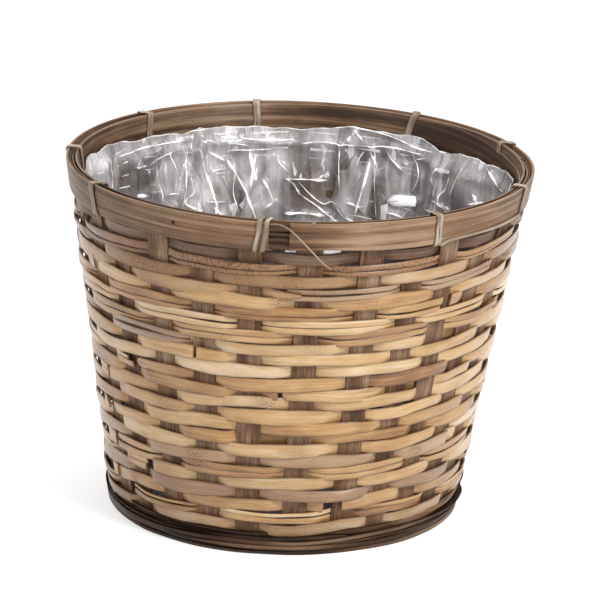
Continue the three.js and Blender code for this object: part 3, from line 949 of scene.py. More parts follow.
def foot_strip(number, start, run, height, width, out, height_drift):
    draw = np.random.default_rng(100 + number)
    azimuth = np.radians(np.linspace(start, start + run, 240))
    rise = wander(draw, azimuth, *height_drift)
    lie = out + wander(draw, azimuth, *FOOT_OUT_DRIFT)
    heights = np.maximum(height + rise, width / 2)
    tilt = 0.15 + wander(draw, azimuth, *FOOT_TILT_DRIFT)
    widths = width * (1 + wander(draw, azimuth, *FOOT_WIDTH_DRIFT))
    tip = np.clip(np.minimum(azimuth - azimuth[0], azimuth[-1] - azimuth) / FOOT_STRIP_TIP, 0, 1)
    widths = widths * (0.3 + 0.7 * tip)
    section = rounded_section(12, 0.35, 0.3, 0.9)
    rings = strip_rings(azimuth, lie, heights, FOOT_STRIP_THICKNESS, widths, tilt, section)
    rings[..., 2] = np.maximum(rings[..., 2], 0)
    values = plain_tone(rings, 0.5 + wander(draw, azimuth, *FOOT_TONE_DRIFT), 0.2)
    # Painted shade with dirt along both edges, where the gaps between the strips are dark.
    values[..., 2] = 0.08 + 0.92 * np.abs(section[1])[None, :] ** 3
    return rings, values


def make_foot():
    lines = enumerate(FOOT_STRIPS)
    strips = [foot_strip(number, *line, FOOT_HEIGHT_DRIFT) for number, line in lines]
    roll_up("foot_strips", strips, dark_cane, "basket", "foot_weaver")
    lines = enumerate(FOOT_HOOP_STRIPS, FOOT_HOOP_FIRST_NUMBER)
    strips = [foot_strip(number, *line, FOOT_HOOP_HEIGHT_DRIFT) for number, line in lines]
    roll_up("foot_hoop_strips", strips, dark_cane, "basket", "foot_hoop")


make_foot()


# Rim hoops.
NAIL_AZIMUTH = -31.0
NAIL_HEIGHT = 0.2199
NAIL_SIZE = 0.0024
NAIL_THICKNESS = 0.0005
HOOP_NARROW_AT = 6.0
HOOP_NARROW_REACH = 10.0
HOOP_NARROWER = 0.0016
HOOP_LAP = 0.050
LAP_LIFT = 0.0011
LAP_THINNER = 0.25
LAP_BESIDE_LASHING = 0.015
SPLIT_END_BESIDE_LASHING = 0.002
OUTER_HOOP_DRIFT = (0.0005, 0.6)
INNER_HOOP_DRIFT = (0.0004, 0.6)
STREAK_DRIFT = 0.8
STAIN_DRIFT = (1.6, 0.5)
SPLIT_THICKNESS = 0.0011
TONGUE_OUT = 0.0006  # from the inside of the outer hoop to the middle of a tongue
TONGUE_TIP_OUT = 0.0004
TONGUE_DRIFT = (0.0003, 0.3)
TONGUE_LENGTH = 0.014  # from the tip of the end on top to where the tongues under it end
TONGUES = [
    # height of the middle, width, reach to the left, slant
    (0.2243, 0.0052, 0.0010, 0.0004),
    (0.2199, 0.0026, 0.0022, -0.0005),
    (0.2165, 0.0034, 0.0004, 0.0006),
    (0.2118, 0.0040, 0.0016, -0.0002),
]
INNER_LAP_FROM = 86.0
INNER_LAP_TO = 148.4
INNER_LAP_BELOW = 0.0002  # from the edge of the hoop to the top of the wedge
INNER_LAP_DROP = 0.0056  # from there to its top near its tip
INNER_LAP_IN = 0.0006  # from the inside of the hoop to the middle of the wedge
INNER_LAP_TIP_IN = 0.0005  # how much less that is at its thick end
OUTER_TONES = [
    # azimuth in degrees, tone
    (-180, 0.5), (-80, 0.52), (-30, 0.5), (-8, 0.4), (-3, 0.12), (3, 0.2), (8, 0.36), (15, 0.68), (30, 0.5),
    (60, 0.2), (90, 0.28), (180, 0.5),
]
INNER_TONES = [
    (0, 0.4), (100, 0.35), (125, 0.2), (150, 0.12), (172, 0.16), (185, 0.45), (200, 0.72), (215, 0.55),
    (235, 0.2), (260, 0.1), (360, 0.4),
]


def hoop_tone(draw, azimuth, rings, tones, swing, painted_top_light):
    """Long streaks along a hoop, with a painted highlight on its rounded top edge and painted shade along
    its lower edge.
    """
    side = HOOP_SECTION[1]
    turns, levels = zip(*tones)
    degrees = np.degrees(azimuth) % 360
    degrees = np.where(degrees > turns[-1], degrees - 360, degrees)
    levels = np.interp(degrees, turns, levels) + wander(draw, azimuth, swing, STREAK_DRIFT)
    values = plain_tone(rings, levels, 0.25 * np.clip(wander(draw, azimuth, *STAIN_DRIFT), 0, 1))
    # Painted highlight on the rounded top edge.
    values[..., 0] += painted_top_light * np.clip((side - 0.86) / 0.12, 0, 1)[None, :]
    # Painted shade along the lower edge.
    values[..., 2] = 0.45 * np.clip((-0.9 - side) / 0.1, 0, 1)[None, :]
    return values


def make_outer_hoop():
    """One end comes from the right and lies on top. The other, split, comes from the left and under it."""
    top_end = lashing_azimuth(0) + LAP_BESIDE_LASHING / RIM_RADIUS
    lashing = lashing_azimuth(0) + SPLIT_END_BESIDE_LASHING / RIM_RADIUS
    draw = np.random.default_rng(11)
    azimuth = np.linspace(top_end, lashing + TURN, 420)
    height = BASKET_HEIGHT - HOOP_HEIGHT / 2 + wander(draw, azimuth, *OUTER_HOOP_DRIFT)
    past_end = (azimuth - top_end) * RIM_RADIUS
    lapped = 1 - smooth((past_end - HOOP_LAP * 0.5) / (HOOP_LAP * 0.6))
    out = (OUTER_HOOP_INNER + OUTER_HOOP_OUTER) / 2 + LAP_LIFT * lapped
    thick = HOOP_THICKNESS * (1 - LAP_THINNER * lapped)
    narrower = HOOP_NARROWER * hump(degrees_from(azimuth, HOOP_NARROW_AT), HOOP_NARROW_REACH)
    tall = HOOP_HEIGHT - narrower
    rings = strip_rings(azimuth, out, height + narrower / 2, thick, tall, section=HOOP_SECTION)
    strips = [(rings, hoop_tone(draw, azimuth, rings, OUTER_TONES, 0.4, 0.22))]
    for middle, width, reach, slant in TONGUES:
        turn = np.linspace(lashing - reach / RIM_RADIUS, top_end + TONGUE_LENGTH / RIM_RADIUS, 24)
        share = np.linspace(0, 1, 24)
        level = middle + slant * (share - 0.5) + wander(draw, share, *TONGUE_DRIFT)
        lie = OUTER_HOOP_INNER + TONGUE_OUT + TONGUE_TIP_OUT * (1 - share)
        tongue = strip_rings(turn, lie, level, SPLIT_THICKNESS, width * (0.9 + 0.1 * share))
        # Painted shade in the recess of the lap, deeper along the edges of each tongue.
        values = plain_tone(tongue, 0.2 + draw.normal(0, 0.08), 0.3, 0.3)
        values[..., 2] += 0.6 * np.abs(CANE_SECTION[1])[None, :] ** 4
        strips.append((tongue, values))
    share = np.linspace(-1, 1, 9)
    turn = math.radians(NAIL_AZIMUTH) + share * NAIL_SIZE / 2 / RIM_RADIUS
    round_width = NAIL_SIZE * np.sqrt(np.maximum(1 - share**2, 0.05))
    nail = strip_rings(turn, OUTER_HOOP_OUTER, NAIL_HEIGHT, NAIL_THICKNESS, round_width)
    strips.append((nail, plain_tone(nail, 0.0, 0.0, 0.9)))
    roll_up("outer_hoop_bamboo", strips, rim_bamboo, "basket", "outer_hoop")


def make_inner_hoop():
    """The inner hoop, and the wedge of its lap that lies inside it at the back right."""
    draw = np.random.default_rng(12)
    azimuth = math.radians(4) + np.linspace(0, TURN - math.radians(1), 420)
    top = BASKET_HEIGHT - INNER_HOOP_BELOW_RIM
    height = (top + HOOP_BOTTOM) / 2 + wander(draw, azimuth, *INNER_HOOP_DRIFT)
    out = (INNER_HOOP_INNER + INNER_HOOP_OUTER) / 2
    rings = strip_rings(azimuth, out, height, HOOP_THICKNESS, top - HOOP_BOTTOM, section=HOOP_SECTION)
    strips = [(rings, hoop_tone(draw, azimuth, rings, INNER_TONES, 0.4, 0.4))]
    turn = np.radians(np.linspace(INNER_LAP_FROM, INNER_LAP_TO, 70))
    share = np.linspace(1, 0, 70)
    wedge_top = top - INNER_LAP_BELOW - INNER_LAP_DROP * smooth(share * 1.5 - 0.15)
    middle = (wedge_top + HOOP_BOTTOM) / 2
    lie = INNER_HOOP_INNER - INNER_LAP_IN + INNER_LAP_TIP_IN * np.clip((0.12 - share) / 0.12, 0, 1)
    tall = wedge_top - HOOP_BOTTOM
    wedge = strip_rings(turn, lie, middle, SPLIT_THICKNESS, tall, section=HOOP_SECTION)
    strips.append((wedge, hoop_tone(draw, turn, wedge, INNER_TONES, 0.3, 0.6)))
    roll_up("inner_hoop_bamboo", strips, inner_bamboo, "basket", "inner_hoop")


CORE_CANE_WIDTH = CORE_WIDTH * 0.44
CORE_CANE_HEIGHT = CORE_HEIGHT * 0.9
CORE_CANES = [
    # out from the middle, in shares of the width of the core, and rise
    (-0.26, 0.0),
    (0.26, -0.0008),
]
CORE_HEIGHT_DRIFT = (0.0007, 0.3)
CORE_OUT_DRIFT = (0.0003, 0.25)
CORE_TONE_DRIFT = (0.4, 0.5)


def make_core():
    """Two thick canes between the hoops, one beside the other."""
    draw = np.random.default_rng(13)
    azimuth = math.radians(100) + np.linspace(0, TURN - math.radians(2), 240)
    middle = BASKET_HEIGHT - CORE_BELOW_RIM - CORE_HEIGHT / 2
    strips = []
    for share, rise in CORE_CANES:
        height = middle + rise + wander(draw, azimuth, *CORE_HEIGHT_DRIFT)
        out = (CORE_INNER + CORE_OUTER) / 2 + share * CORE_WIDTH + wander(draw, azimuth, *CORE_OUT_DRIFT)
        rings = strip_rings(azimuth, out, height, CORE_CANE_WIDTH, CORE_CANE_HEIGHT)
        tone = 0.45 + wander(draw, azimuth, *CORE_TONE_DRIFT)
        # Painted shade: the canes lie deep between the hoops.
        strips.append((rings, plain_tone(rings, tone, 0.0, 0.35)))
    roll_up("rim_core_cane", strips, rim_bamboo, "basket", "rim_core")


# Lashings: cane laces wound round both hoops, and the two loose stretches that go on from them.
LACE_WIDTH = 0.0024
LACE_TURNS = 2
LACE_LOOP_STEPS = 44
LACE_BEND = 0.0013
LACE_ACROSS_DRIFT = (0.0004, 0.08)
LACE_WIDTH_DRIFT = (0.3, 0.11)
LACE_TONE_DRIFT = (0.5, 0.13)
LOOSE_TONE_DRIFT = (0.3, 0.01)
LACE_OUTSIDE = OUTER_HOOP_OUTER + SEAT_GAP + LACE_THICKNESS / 2
LACE_INSIDE = INNER_HOOP_INNER - SEAT_GAP - LACE_THICKNESS / 2
LASHINGS = [
    # stake before it, share of the way to the next stake, slant outside, slant inside, spread of the turns
    (2, 0.26, 0.0006, 0.0010, 0.0048),
    (5, 0.43, -0.0010, -0.0008, 0.0024),
    (8, 0.40, 0.0008, 0.0012, 0.0024),
    (11, 0.53, -0.0008, 0.0022, 0.0026),
    (14, 0.52, 0.0010, -0.0020, 0.0022),
    (17, 0.74, -0.0006, 0.0010, 0.0026),
    (20, 0.58, 0.0008, -0.0012, 0.0026),
    (23, 0.74, 0.0010, 0.0008, 0.0026),
    (26, 0.35, -0.0018, 0.0014, 0.0028),
]
TAIL_LASHING = 0
TAIL_LACE_WIDTH = 0.0031
TAIL_LACE_LEFT = 0.0014  # how far the turns of that lashing lie to the left of its middle
TAIL_WIDTH = 0.0009
TAIL = [
    # along the rim from the lashing, out from its lace, height
    (0.003, 0.0, 0.2270),
    (0.009, 0.0016, 0.2274),
    (0.016, 0.0036, 0.2242),
    (0.026, 0.0036, 0.2140),
    (0.036, 0.0014, 0.2030),
    (0.042, -0.0012, 0.1978),
]
RUNNER_LASHING = 1
RUNNER_WIDTH = 0.0019
RUNNER_OUT = 0.0004
RUNNER_START = (0.002, 0.01)
RUNNER_END = 0.004  # before the next lashing
RUNNER_HEIGHTS = (0.2085, 0.2108, 0.2112, 0.2108, 0.2110)


def lace_loop():
    """Once round both hoops from the middle of the outside upwards: points and outward directions."""
    top = BASKET_HEIGHT + SEAT_GAP + LACE_THICKNESS / 2
    bottom = HOOP_BOTTOM - SEAT_GAP - LACE_THICKNESS / 2
    corners = [(LACE_OUTSIDE, bottom), (LACE_OUTSIDE, top), (LACE_INSIDE, top), (LACE_INSIDE, bottom)]
    points = [((LACE_OUTSIDE + LACE_INSIDE) / 2, bottom)]
    for quarter, (out, height) in enumerate(corners, 3):
        side_out = LACE_BEND if out == LACE_OUTSIDE else -LACE_BEND
        side_up = LACE_BEND if height == top else -LACE_BEND
        for step in np.linspace(0, TURN / 4, 5):
            turned = step + (quarter % 4) * TURN / 4
            bent_out = LACE_BEND * math.cos(turned) - side_out
            bent_up = LACE_BEND * math.sin(turned) - side_up
            points.append((out + bent_out, height + bent_up))
    points.append(points[0])
    points = np.array(points)
    way = way_along(points)
    even = np.linspace(0, way[-1], LACE_LOOP_STEPS + 1)
    loop = np.stack([np.interp(even, way, points[:, axis]) for axis in (0, 1)], axis=-1)
    ahead = np.roll(loop[:-1], -1, axis=0) - np.roll(loop[:-1], 1, axis=0)
    ahead = np.concatenate([ahead, ahead[:1]])
    ahead /= np.linalg.norm(ahead, axis=1)[:, None]
    return loop, np.stack([ahead[:, 1], -ahead[:, 0]], axis=-1)


def across_wall(azimuth, out, height, across):
    """Points a distance out from the middle of the stakes, and a distance to the right."""
    radius = stake_radius(height) + out
    x = np.sin(azimuth) * radius + np.cos(azimuth) * across
    y = -np.cos(azimuth) * radius + np.sin(azimuth) * across
    return leaned(x, y, height)


def lace_strip(azimuth, slant_outside, slant_inside, spread_apart, number, lace_width):
    """The turns of a lace, which lean their own way outside and inside."""
    loop, outward = lace_loop()
    loops = np.concatenate([loop[:-1]] * LACE_TURNS)
    outwards = np.concatenate([outward[:-1]] * LACE_TURNS)
    steps = np.arange(len(loops)) / LACE_LOOP_STEPS
    middle = (HOOP_BOTTOM + BASKET_HEIGHT) / 2
    lean_share = (loops[:, 1] - middle) / (HOOP_HEIGHT / 2)
    outside = smooth((loops[:, 0] - INNER_HOOP_OUTER) / CORE_WIDTH)
    lean = lean_share * (slant_outside * outside + slant_inside * (1 - outside))
    draw = np.random.default_rng(200 + number)
    across = (steps - LACE_TURNS / 2) * spread_apart + lean + wander(draw, steps, *LACE_ACROSS_DRIFT)
    depth, side = rounded_section(12, 0.6, 0.5, 0.9)
    width = lace_width * (1 + wander(draw, steps, *LACE_WIDTH_DRIFT))
    through = np.outer(np.full(len(loops), LACE_THICKNESS * 1.1), depth) / 2
    sideways = np.outer(width, side) / 2
    outs = loops[:, :1] + through * outwards[:, :1]
    heights = loops[:, 1:] + through * outwards[:, 1:]
    rings = across_wall(azimuth, outs, heights, across[:, None] + sideways)
    values = plain_tone(rings, 0.5 + wander(draw, steps, *LACE_TONE_DRIFT), 0.1)
    values[..., 2] = 0.55 * np.abs(side)[None, :] ** 4
    return rings, values


def loose_strip(azimuth, points, width, number):
    """A loose stretch of cane laid through given points along the rim."""
    ways = np.linspace(0, len(points) - 1, 60)
    along, out, height = (smooth_through(values, ways) for values in zip(*points))
    turn = azimuth + along / RIM_RADIUS
    heading = np.arctan2(np.gradient(height), np.gradient(along))
    depth, side = rounded_section(10, 0.7, 0.7, 1.0)
    through = np.outer(np.full(len(ways), width * 0.6), depth) / 2
    sideways = np.outer(np.full(len(ways), width), side) / 2
    across = -sideways * np.sin(heading)[:, None]
    up = sideways * np.cos(heading)[:, None]
    outs = LACE_OUTSIDE + out[:, None] + through
    rings = across_wall(turn[:, None], outs, height[:, None] + up, across)
    draw = np.random.default_rng(300 + number)
    return rings, plain_tone(rings, 0.6 + wander(draw, along, *LOOSE_TONE_DRIFT), 0.1, 0.1)


def lashing_azimuth(number):
    stake, share = LASHINGS[number][:2]
    before, after = pass_azimuth(np.array([stake, stake + 1.0]))
    return before + (after - before) * share


def make_lashings():
    for number, (_, _, *slants_and_spread) in enumerate(LASHINGS):
        azimuth = lashing_azimuth(number)
        if number == TAIL_LASHING:
            shown = azimuth - TAIL_LACE_LEFT / RIM_RADIUS
            strips = [lace_strip(shown, *slants_and_spread, number, TAIL_LACE_WIDTH)]
            strips.append(loose_strip(azimuth, TAIL, TAIL_WIDTH, number))
        else:
            strips = [lace_strip(azimuth, *slants_and_spread, number, LACE_WIDTH)]
        if number == RUNNER_LASHING:
            reach = (lashing_azimuth(number + 1) - azimuth) * RIM_RADIUS
            alongs = (*RUNNER_START, reach * 0.3, reach * 0.6, reach - RUNNER_END)
            points = [(along, RUNNER_OUT, height) for along, height in zip(alongs, RUNNER_HEIGHTS)]
            strips.append(loose_strip(azimuth, points, RUNNER_WIDTH, number))
        name = f"lashing_lace_{number + 1:02d}"
        roll_up(name, strips, lace_cane, "basket", f"lashing_{number + 1:02d}")


make_outer_hoop()
make_inner_hoop()
make_core()
make_lashings()


# Film liner: a thin clear cup with pleats and creases, whose edge stands up and down a little.
FILM_THICKNESS = 0.0003
FILM_AROUND = 420
FILM_OUT = INNER_HOOP_INNER - SEAT_GAP - LACE_THICKNESS - LINER_CLEARANCE
FILM_BOTTOM = 0.0072
FILM_RADIUS = 0.135
FILM_SHARP = 70  # the angle in degrees from which an edge is not smoothed
FLOOR_RIPPLE = 0.0008
OUTSIDE_LOOKS_DOWN = 0.06  # the weight of looking down, against looking away from the axis
LEAST_INWARD = 0.0002
BILLOW = 0.0026
BILLOW_DRIFT = (0.003, 0.35)
BILLOW_SLANT = 9  # how far a slanting billow turns in a metre of height
BILLOW_SLANT_DRIFT = (0.002, 0.16)
BILLOW_FULL_HEIGHT = 0.1
FILM_EDGE_DRIFT = (0.0008, 0.03)
EDGE_FOLD = 0.0016  # a fold that runs round below the edge
EDGE_FOLD_BELOW = 0.011
EDGE_FOLD_REACH = 0.004
BULGE = 0.009  # where the film comes away from the wall, round an azimuth in degrees and a height
BULGE_AT = 122
BULGE_TURN_REACH = 13
BULGE_HEIGHT = 0.192
BULGE_RISE = 0.022
SMALL_CREASE_COUNT = 150
SMALL_CREASE_HEIGHTS = (0.05, 0.212)
SMALL_CREASE_LENGTHS = (0.012, 0.06)
SMALL_CREASE_HALF_WIDTHS = (0.002, 0.007)
SMALL_CREASE_DEPTHS = (-0.0016, 0.0026)
FOLD_CREASE_HALF_WIDTH = 0.0035
FOLD_CREASE_DEPTH = 0.0006
FOLD_CREASE_DEEPER = 0.0003  # for each millimetre of the fold's width
# The strip along each sharp fold is a painted gleam, white and glowing a little.
FOLD_SECTION = rounded_section(8, 0.8, 0.8, 1.0)
FOLD_THICKNESS = 0.0003
BROAD_FOLD = 3  # the width in millimetres from which a fold is broad
BROAD_FOLD_OFF = 0.001
BROAD_FOLD_TAPER = 0.0003
BROAD_FOLD_SWING = 0.3
FOLD_TAPER = 0.004
FOLD_SWING = 0.9
FOLD_REACH = 0.005
FADE_LENGTH = 0.012
# A painted gleam along the film's own edge.
EDGE_GLEAM_WIDTH = 0.5
EDGE_GLEAM_STRENGTH = 0.6
EDGE_GLEAM_LEAST_POINTS = 12  # a strip with so many needs fewer steps between them
OUTSIDE_GLEAM_NUMBER = 90
FILM_EDGE = [
    # azimuth in degrees, height of the edge
    (-174, 0.2134), (-169, 0.2141), (-162, 0.2146), (-150, 0.2153), (-146, 0.2130), (-142, 0.2142),
    (-133, 0.2164), (-130, 0.2150), (-124, 0.2159), (-115, 0.2188), (-111, 0.2190), (-106, 0.2172),
    (-98, 0.2200), (-94, 0.2140), (-90.5, 0.2114), (-75, 0.2140),
    (-60, 0.2125), (-44, 0.2150), (-30, 0.2120), (-12, 0.2138), (4, 0.2120), (22, 0.2150), (38, 0.2128),
    (55, 0.2145), (70, 0.2150), (82, 0.2200), (90, 0.2180), (103, 0.2168), (113, 0.2145), (120, 0.2141),
    (125, 0.2137), (131, 0.2112), (136, 0.2094), (143, 0.2152), (150, 0.2150), (158, 0.2151),
    (166, 0.2164), (172, 0.2140), (180, 0.2130),
]
FILM_CREASES = [
    # azimuth and height of both ends, half width, depth
    (-150, 0.212, -146, 0.150, 0.007, 0.006),
    (-150, 0.209, -139, 0.160, 0.005, 0.004),
    (-150, 0.209, -156, 0.165, 0.005, 0.0035),
    (158, 0.204, 161, 0.150, 0.006, 0.006),
    (158, 0.204, 152, 0.155, 0.006, 0.0045),
    (168, 0.204, 167, 0.160, 0.005, 0.006),
    (133, 0.208, 131, 0.150, 0.005, 0.004),
    (120, 0.212, 126, 0.160, 0.006, 0.004),
    (-178, 0.203, -166, 0.205, 0.004, 0.003),
    (-172, 0.195, -160, 0.160, 0.005, 0.004),
    (-135, 0.207, -118, 0.200, 0.006, 0.004),
    (-124, 0.205, -122, 0.150, 0.005, 0.004),
    (-108, 0.208, -112, 0.150, 0.006, 0.004),
]
# Sharp folds: each presses a crease into the film and carries a painted gleam.
FOLDS_WITH_GLEAMS = [
    # width in millimetres, then azimuth in degrees and height in millimetres of each point along the fold
    (1.8, (202, 194), (197, 175), (192, 150)),
    (0.9, (201, 196), (201, 199), (194, 199), (187, 200)),
    (0.8, (243, 209), (229, 210), (219, 209), (213, 209)),
    (1.6, (212, 204), (211, 197), (209, 186), (207, 173), (206, 156)),
    (1.4, (215, 188), (214, 175), (217, 169), (214, 164), (211, 163)),
    (2.2, (195, 200), (194, 187), (193, 178)),
    (1.6, (193, 196), (194, 186), (195, 173)),
    (1.9, (191, 180), (189, 173), (187, 163)),
    (2.9, (187, 164), (190, 159)),
    (1.0, (208, 187), (202, 187)),
    (1.0, (210, 167), (202, 166)),
    (1.7, (207, 163), (205, 159), (201, 152)),
    (1.2, (186, 199), (186, 191), (183, 184)),
    (0.9, (212, 209), (206, 206), (204, 202)),
    (1.0, (212, 173), (213, 163)),
    (1.0, (208, 172), (206, 165), (206, 155)),
    (1.6, (208, 200), (205, 196), (202, 192)),
    (0.9, (221, 215), (218, 214)),
    (1.0, (236, 204), (234, 196)),
    (1.6, (238, 200), (230, 197)),
    (0.9, (230, 197), (224, 201), (218, 204)),
    (2.4, (237, 180), (230, 177)),
    (1.2, (225, 176), (219, 175)),
    (0.7, (226, 198), (226, 182), (225, 169)),
    (0.8, (215, 206), (216, 188), (218, 165)),
    (0.8, (222, 205), (219, 190), (220, 176)),
    (0.8, (203, 205), (195, 202)),
    (0.9, (198, 207), (190, 206), (182, 206)),
    (0.7, (199, 190), (200, 172), (198, 156)),
    (0.8, (250, 214), (247, 200), (249, 188)),
    (0.8, (261, 221), (260, 214)),
    (1.0, (184, 180), (181, 175), (179, 169), (173, 160), (166, 150)),
    (0.9, (180, 178), (176, 169), (172, 163), (169, 165), (167, 161), (165, 155)),
    (1.7, (184, 179), (178, 179), (171, 179)),
    (2.4, (184, 156), (178, 156), (171, 155)),
    (1.0, (173, 192), (172, 183)),
    (1.8, (172, 183), (174, 180)),
    (0.8, (163, 189), (162, 196), (160, 203)),
    (1.4, (161, 187), (162, 181)),
    (1.8, (158, 198), (159, 181), (160, 169), (161, 159)),
    (0.8, (157, 203), (156, 182), (154, 158)),
    (0.8, (158, 203), (155, 187)),
    (2.2, (165, 165), (158, 165)),
    (1.6, (165, 155), (158, 153)),
    (1.6, (154, 204), (152, 198), (148, 192)),
    (1.4, (149, 198), (146, 196)),
    (1.6, (144, 201), (140, 204)),
    (0.7, (145, 205), (142, 190), (144, 178)),
    (0.9, (165, 215), (161, 207)),
    (0.9, (165, 216), (155, 214), (146, 209), (138, 208)),
    (0.7, (180, 203), (174, 205), (165, 204), (154, 206), (140, 205)),
    (0.9, (168, 203), (167, 175)),
    (8.4, (151, 171), (141, 174)),
    (1.2, (151, 163), (145, 161)),
    (1.2, (138, 170), (133, 169)),
    (1.4, (136, 187), (137, 192), (135, 199), (133, 199)),
    (1.2, (128, 199), (129, 190), (131, 184), (131, 178)),
    (2.6, (130, 177), (125, 176)),
    (2.0, (132, 179), (129, 175), (127, 173)),
    (1.4, (117, 185), (109, 191)),
    (2.6, (115, 194), (112, 189)),
    (0.7, (124, 210), (122, 198), (125, 186)),
    (1.5, (113, 213), (108, 209), (99, 204)),
]
# Painted gleams on the outside of the film, where it shows through the gap under the hoop.
OUTSIDE_GLEAMS = [
    (5.0, (356.6, 206.5), (359.9, 206.5)),
    (5.0, (5.6, 206.5), (11.6, 206.5)),
]
FILM_HAZE = 0.66
FILM_LIGHT = 0.43
FILM_EDGE_LIGHT = 0.12  # more light down to a depth below the edge
FILM_EDGE_DEPTH = 0.009
FILM_CALM = 0.7  # a stretch with less play of haze and light
FILM_CALM_AT = 122.0
FILM_CALM_REACH = 8.0
# Patches of haze and lightness; the lightness in them is painted highlight where it rises and painted shade
# where it falls.
FILM_PATCHES = [
    # azimuth in degrees, height, reach in degrees, reach in height, change of haze, change of lightness
    (176, 0.172, 7, 0.017, -0.55, -0.34),
    (237, 0.185, 13, 0.030, -0.03, -0.20),
    (200, 0.185, 12, 0.030, 0.05, 0.14),
    (150, 0.185, 12, 0.030, 0.00, -0.12),
    (256, 0.208, 9, 0.016, 0.30, 0.65),
    (187, 0.190, 4, 0.014, 0.15, 0.60),
    (194, 0.182, 3, 0.022, 0.20, 0.80),
    (207, 0.188, 5, 0.014, 0.05, 0.55),
    (213, 0.168, 4, 0.008, 0.10, 0.50),
    (204, 0.160, 3, 0.010, 0.10, 0.50),
    (189, 0.166, 3, 0.008, 0.20, 0.70),
    (199, 0.167, 2.5, 0.014, -0.35, -0.30),
    (191, 0.192, 2, 0.009, -0.20, -0.30),
    (232, 0.187, 5, 0.010, -0.20, -0.25),
    (243, 0.196, 3.5, 0.012, -0.50, -0.10),
    (205, 0.172, 2.5, 0.012, -0.45, -0.10),
    (220, 0.190, 4, 0.018, 0.05, 0.05),
    (130, 0.190, 8, 0.012, 0.05, 0.15),
    (140, 0.184, 8, 0.018, 0.25, 0.10),
    (158, 0.182, 3, 0.022, 0.00, 0.20),
    (155, 0.168, 2, 0.016, -0.35, -0.20),
    (122, 0.186, 3, 0.010, -0.40, -0.15),
    (167, 0.182, 2, 0.015, -0.25, -0.30),
    (116, 0.192, 9, 0.014, 0.15, 0.05),
]


def crease_depth(azimuth, height, creases):
    """How deep some creases press into the film at each point."""
    total = np.zeros_like(azimuth)
    for start_turn, start_height, end_turn, end_height, half_width, depth in creases:
        turn = (azimuth - math.radians(start_turn) + math.pi) % TURN - math.pi
        x, y = turn * FILM_RADIUS, height - start_height
        end_x = math.radians(end_turn - start_turn) * FILM_RADIUS
        end_y = end_height - start_height
        length = math.hypot(end_x, end_y)
        along = (x * end_x + y * end_y) / length
        aside = np.abs(x * end_y - y * end_x) / length
        share = np.clip(along / length, 0, 1)
        past = np.maximum(np.maximum(-along, along - length), 0)
        reach = half_width * (0.6 + 0.8 * share)
        tent = np.maximum(0, 1 - np.hypot(aside, past) / reach)
        total += depth * tent * (0.35 + 0.65 * np.sin(math.pi * (0.12 + 0.8 * share)))
    return total


def all_creases():
    """The broad creases, the sharp folds and a scatter of small ones."""
    draw = np.random.default_rng(77)
    creases = list(FILM_CREASES)
    for width, *points in FOLDS_WITH_GLEAMS:
        depth = FOLD_CREASE_DEPTH + FOLD_CREASE_DEEPER * width
        for (turn, level), (next_turn, next_level) in zip(points, points[1:]):
            crease = (turn, level / 1000, next_turn, next_level / 1000, FOLD_CREASE_HALF_WIDTH, depth)
            creases.append(crease)
    for _ in range(SMALL_CREASE_COUNT):
        start = draw.uniform(-180, 180)
        level = draw.uniform(*SMALL_CREASE_HEIGHTS)
        reach = draw.uniform(*SMALL_CREASE_LENGTHS)
        heading = draw.normal(-math.pi / 2, 0.55)
        if draw.random() < 0.25:
            heading = draw.uniform(0, TURN)
        end = start + math.degrees(reach * math.cos(heading) / FILM_RADIUS)
        end_level = level + reach * math.sin(heading)
        half_width = draw.uniform(*SMALL_CREASE_HALF_WIDTHS)
        depth = draw.uniform(*SMALL_CREASE_DEPTHS)
        creases.append((start, level, end, end_level, half_width, depth))
    return creases


CREASES = all_creases()


def film_edge(azimuth):
    """The height of the film's edge, for azimuths from zero to a full turn."""
    edges = sorted((turn % 360, height) for turn, height in FILM_EDGE)
    turns, heights = zip(*edges)
    turns = np.array([turns[-1] - 360, *turns, turns[0] + 360])
    heights = np.array([heights[-1], *heights, heights[0]])
    draw = np.random.default_rng(78)
    return np.interp(np.degrees(azimuth), turns, heights) + wander(draw, azimuth, *FILM_EDGE_DRIFT)


def film_out(azimuth, height):
    """How far the film stands out from the middle of the stakes, for azimuths from zero to a full turn."""
    draw = np.random.default_rng(79)
    inward = crease_depth(azimuth, height, CREASES)
    billow = BILLOW + wander(draw, azimuth, *BILLOW_DRIFT)
    billow = billow + wander(draw, azimuth + height * BILLOW_SLANT, *BILLOW_SLANT_DRIFT)
    fold_line = EDGE_FOLD * hump(film_edge(azimuth) - height - EDGE_FOLD_BELOW, EDGE_FOLD_REACH)
    inward = inward + billow * smooth(height / BILLOW_FULL_HEIGHT) + fold_line
    off = np.degrees(azimuth) - BULGE_AT
    bulge = BULGE * hump(off, BULGE_TURN_REACH) * hump(height - BULGE_HEIGHT, BULGE_RISE)
    return FILM_OUT - np.maximum(inward + bulge, LEAST_INWARD)


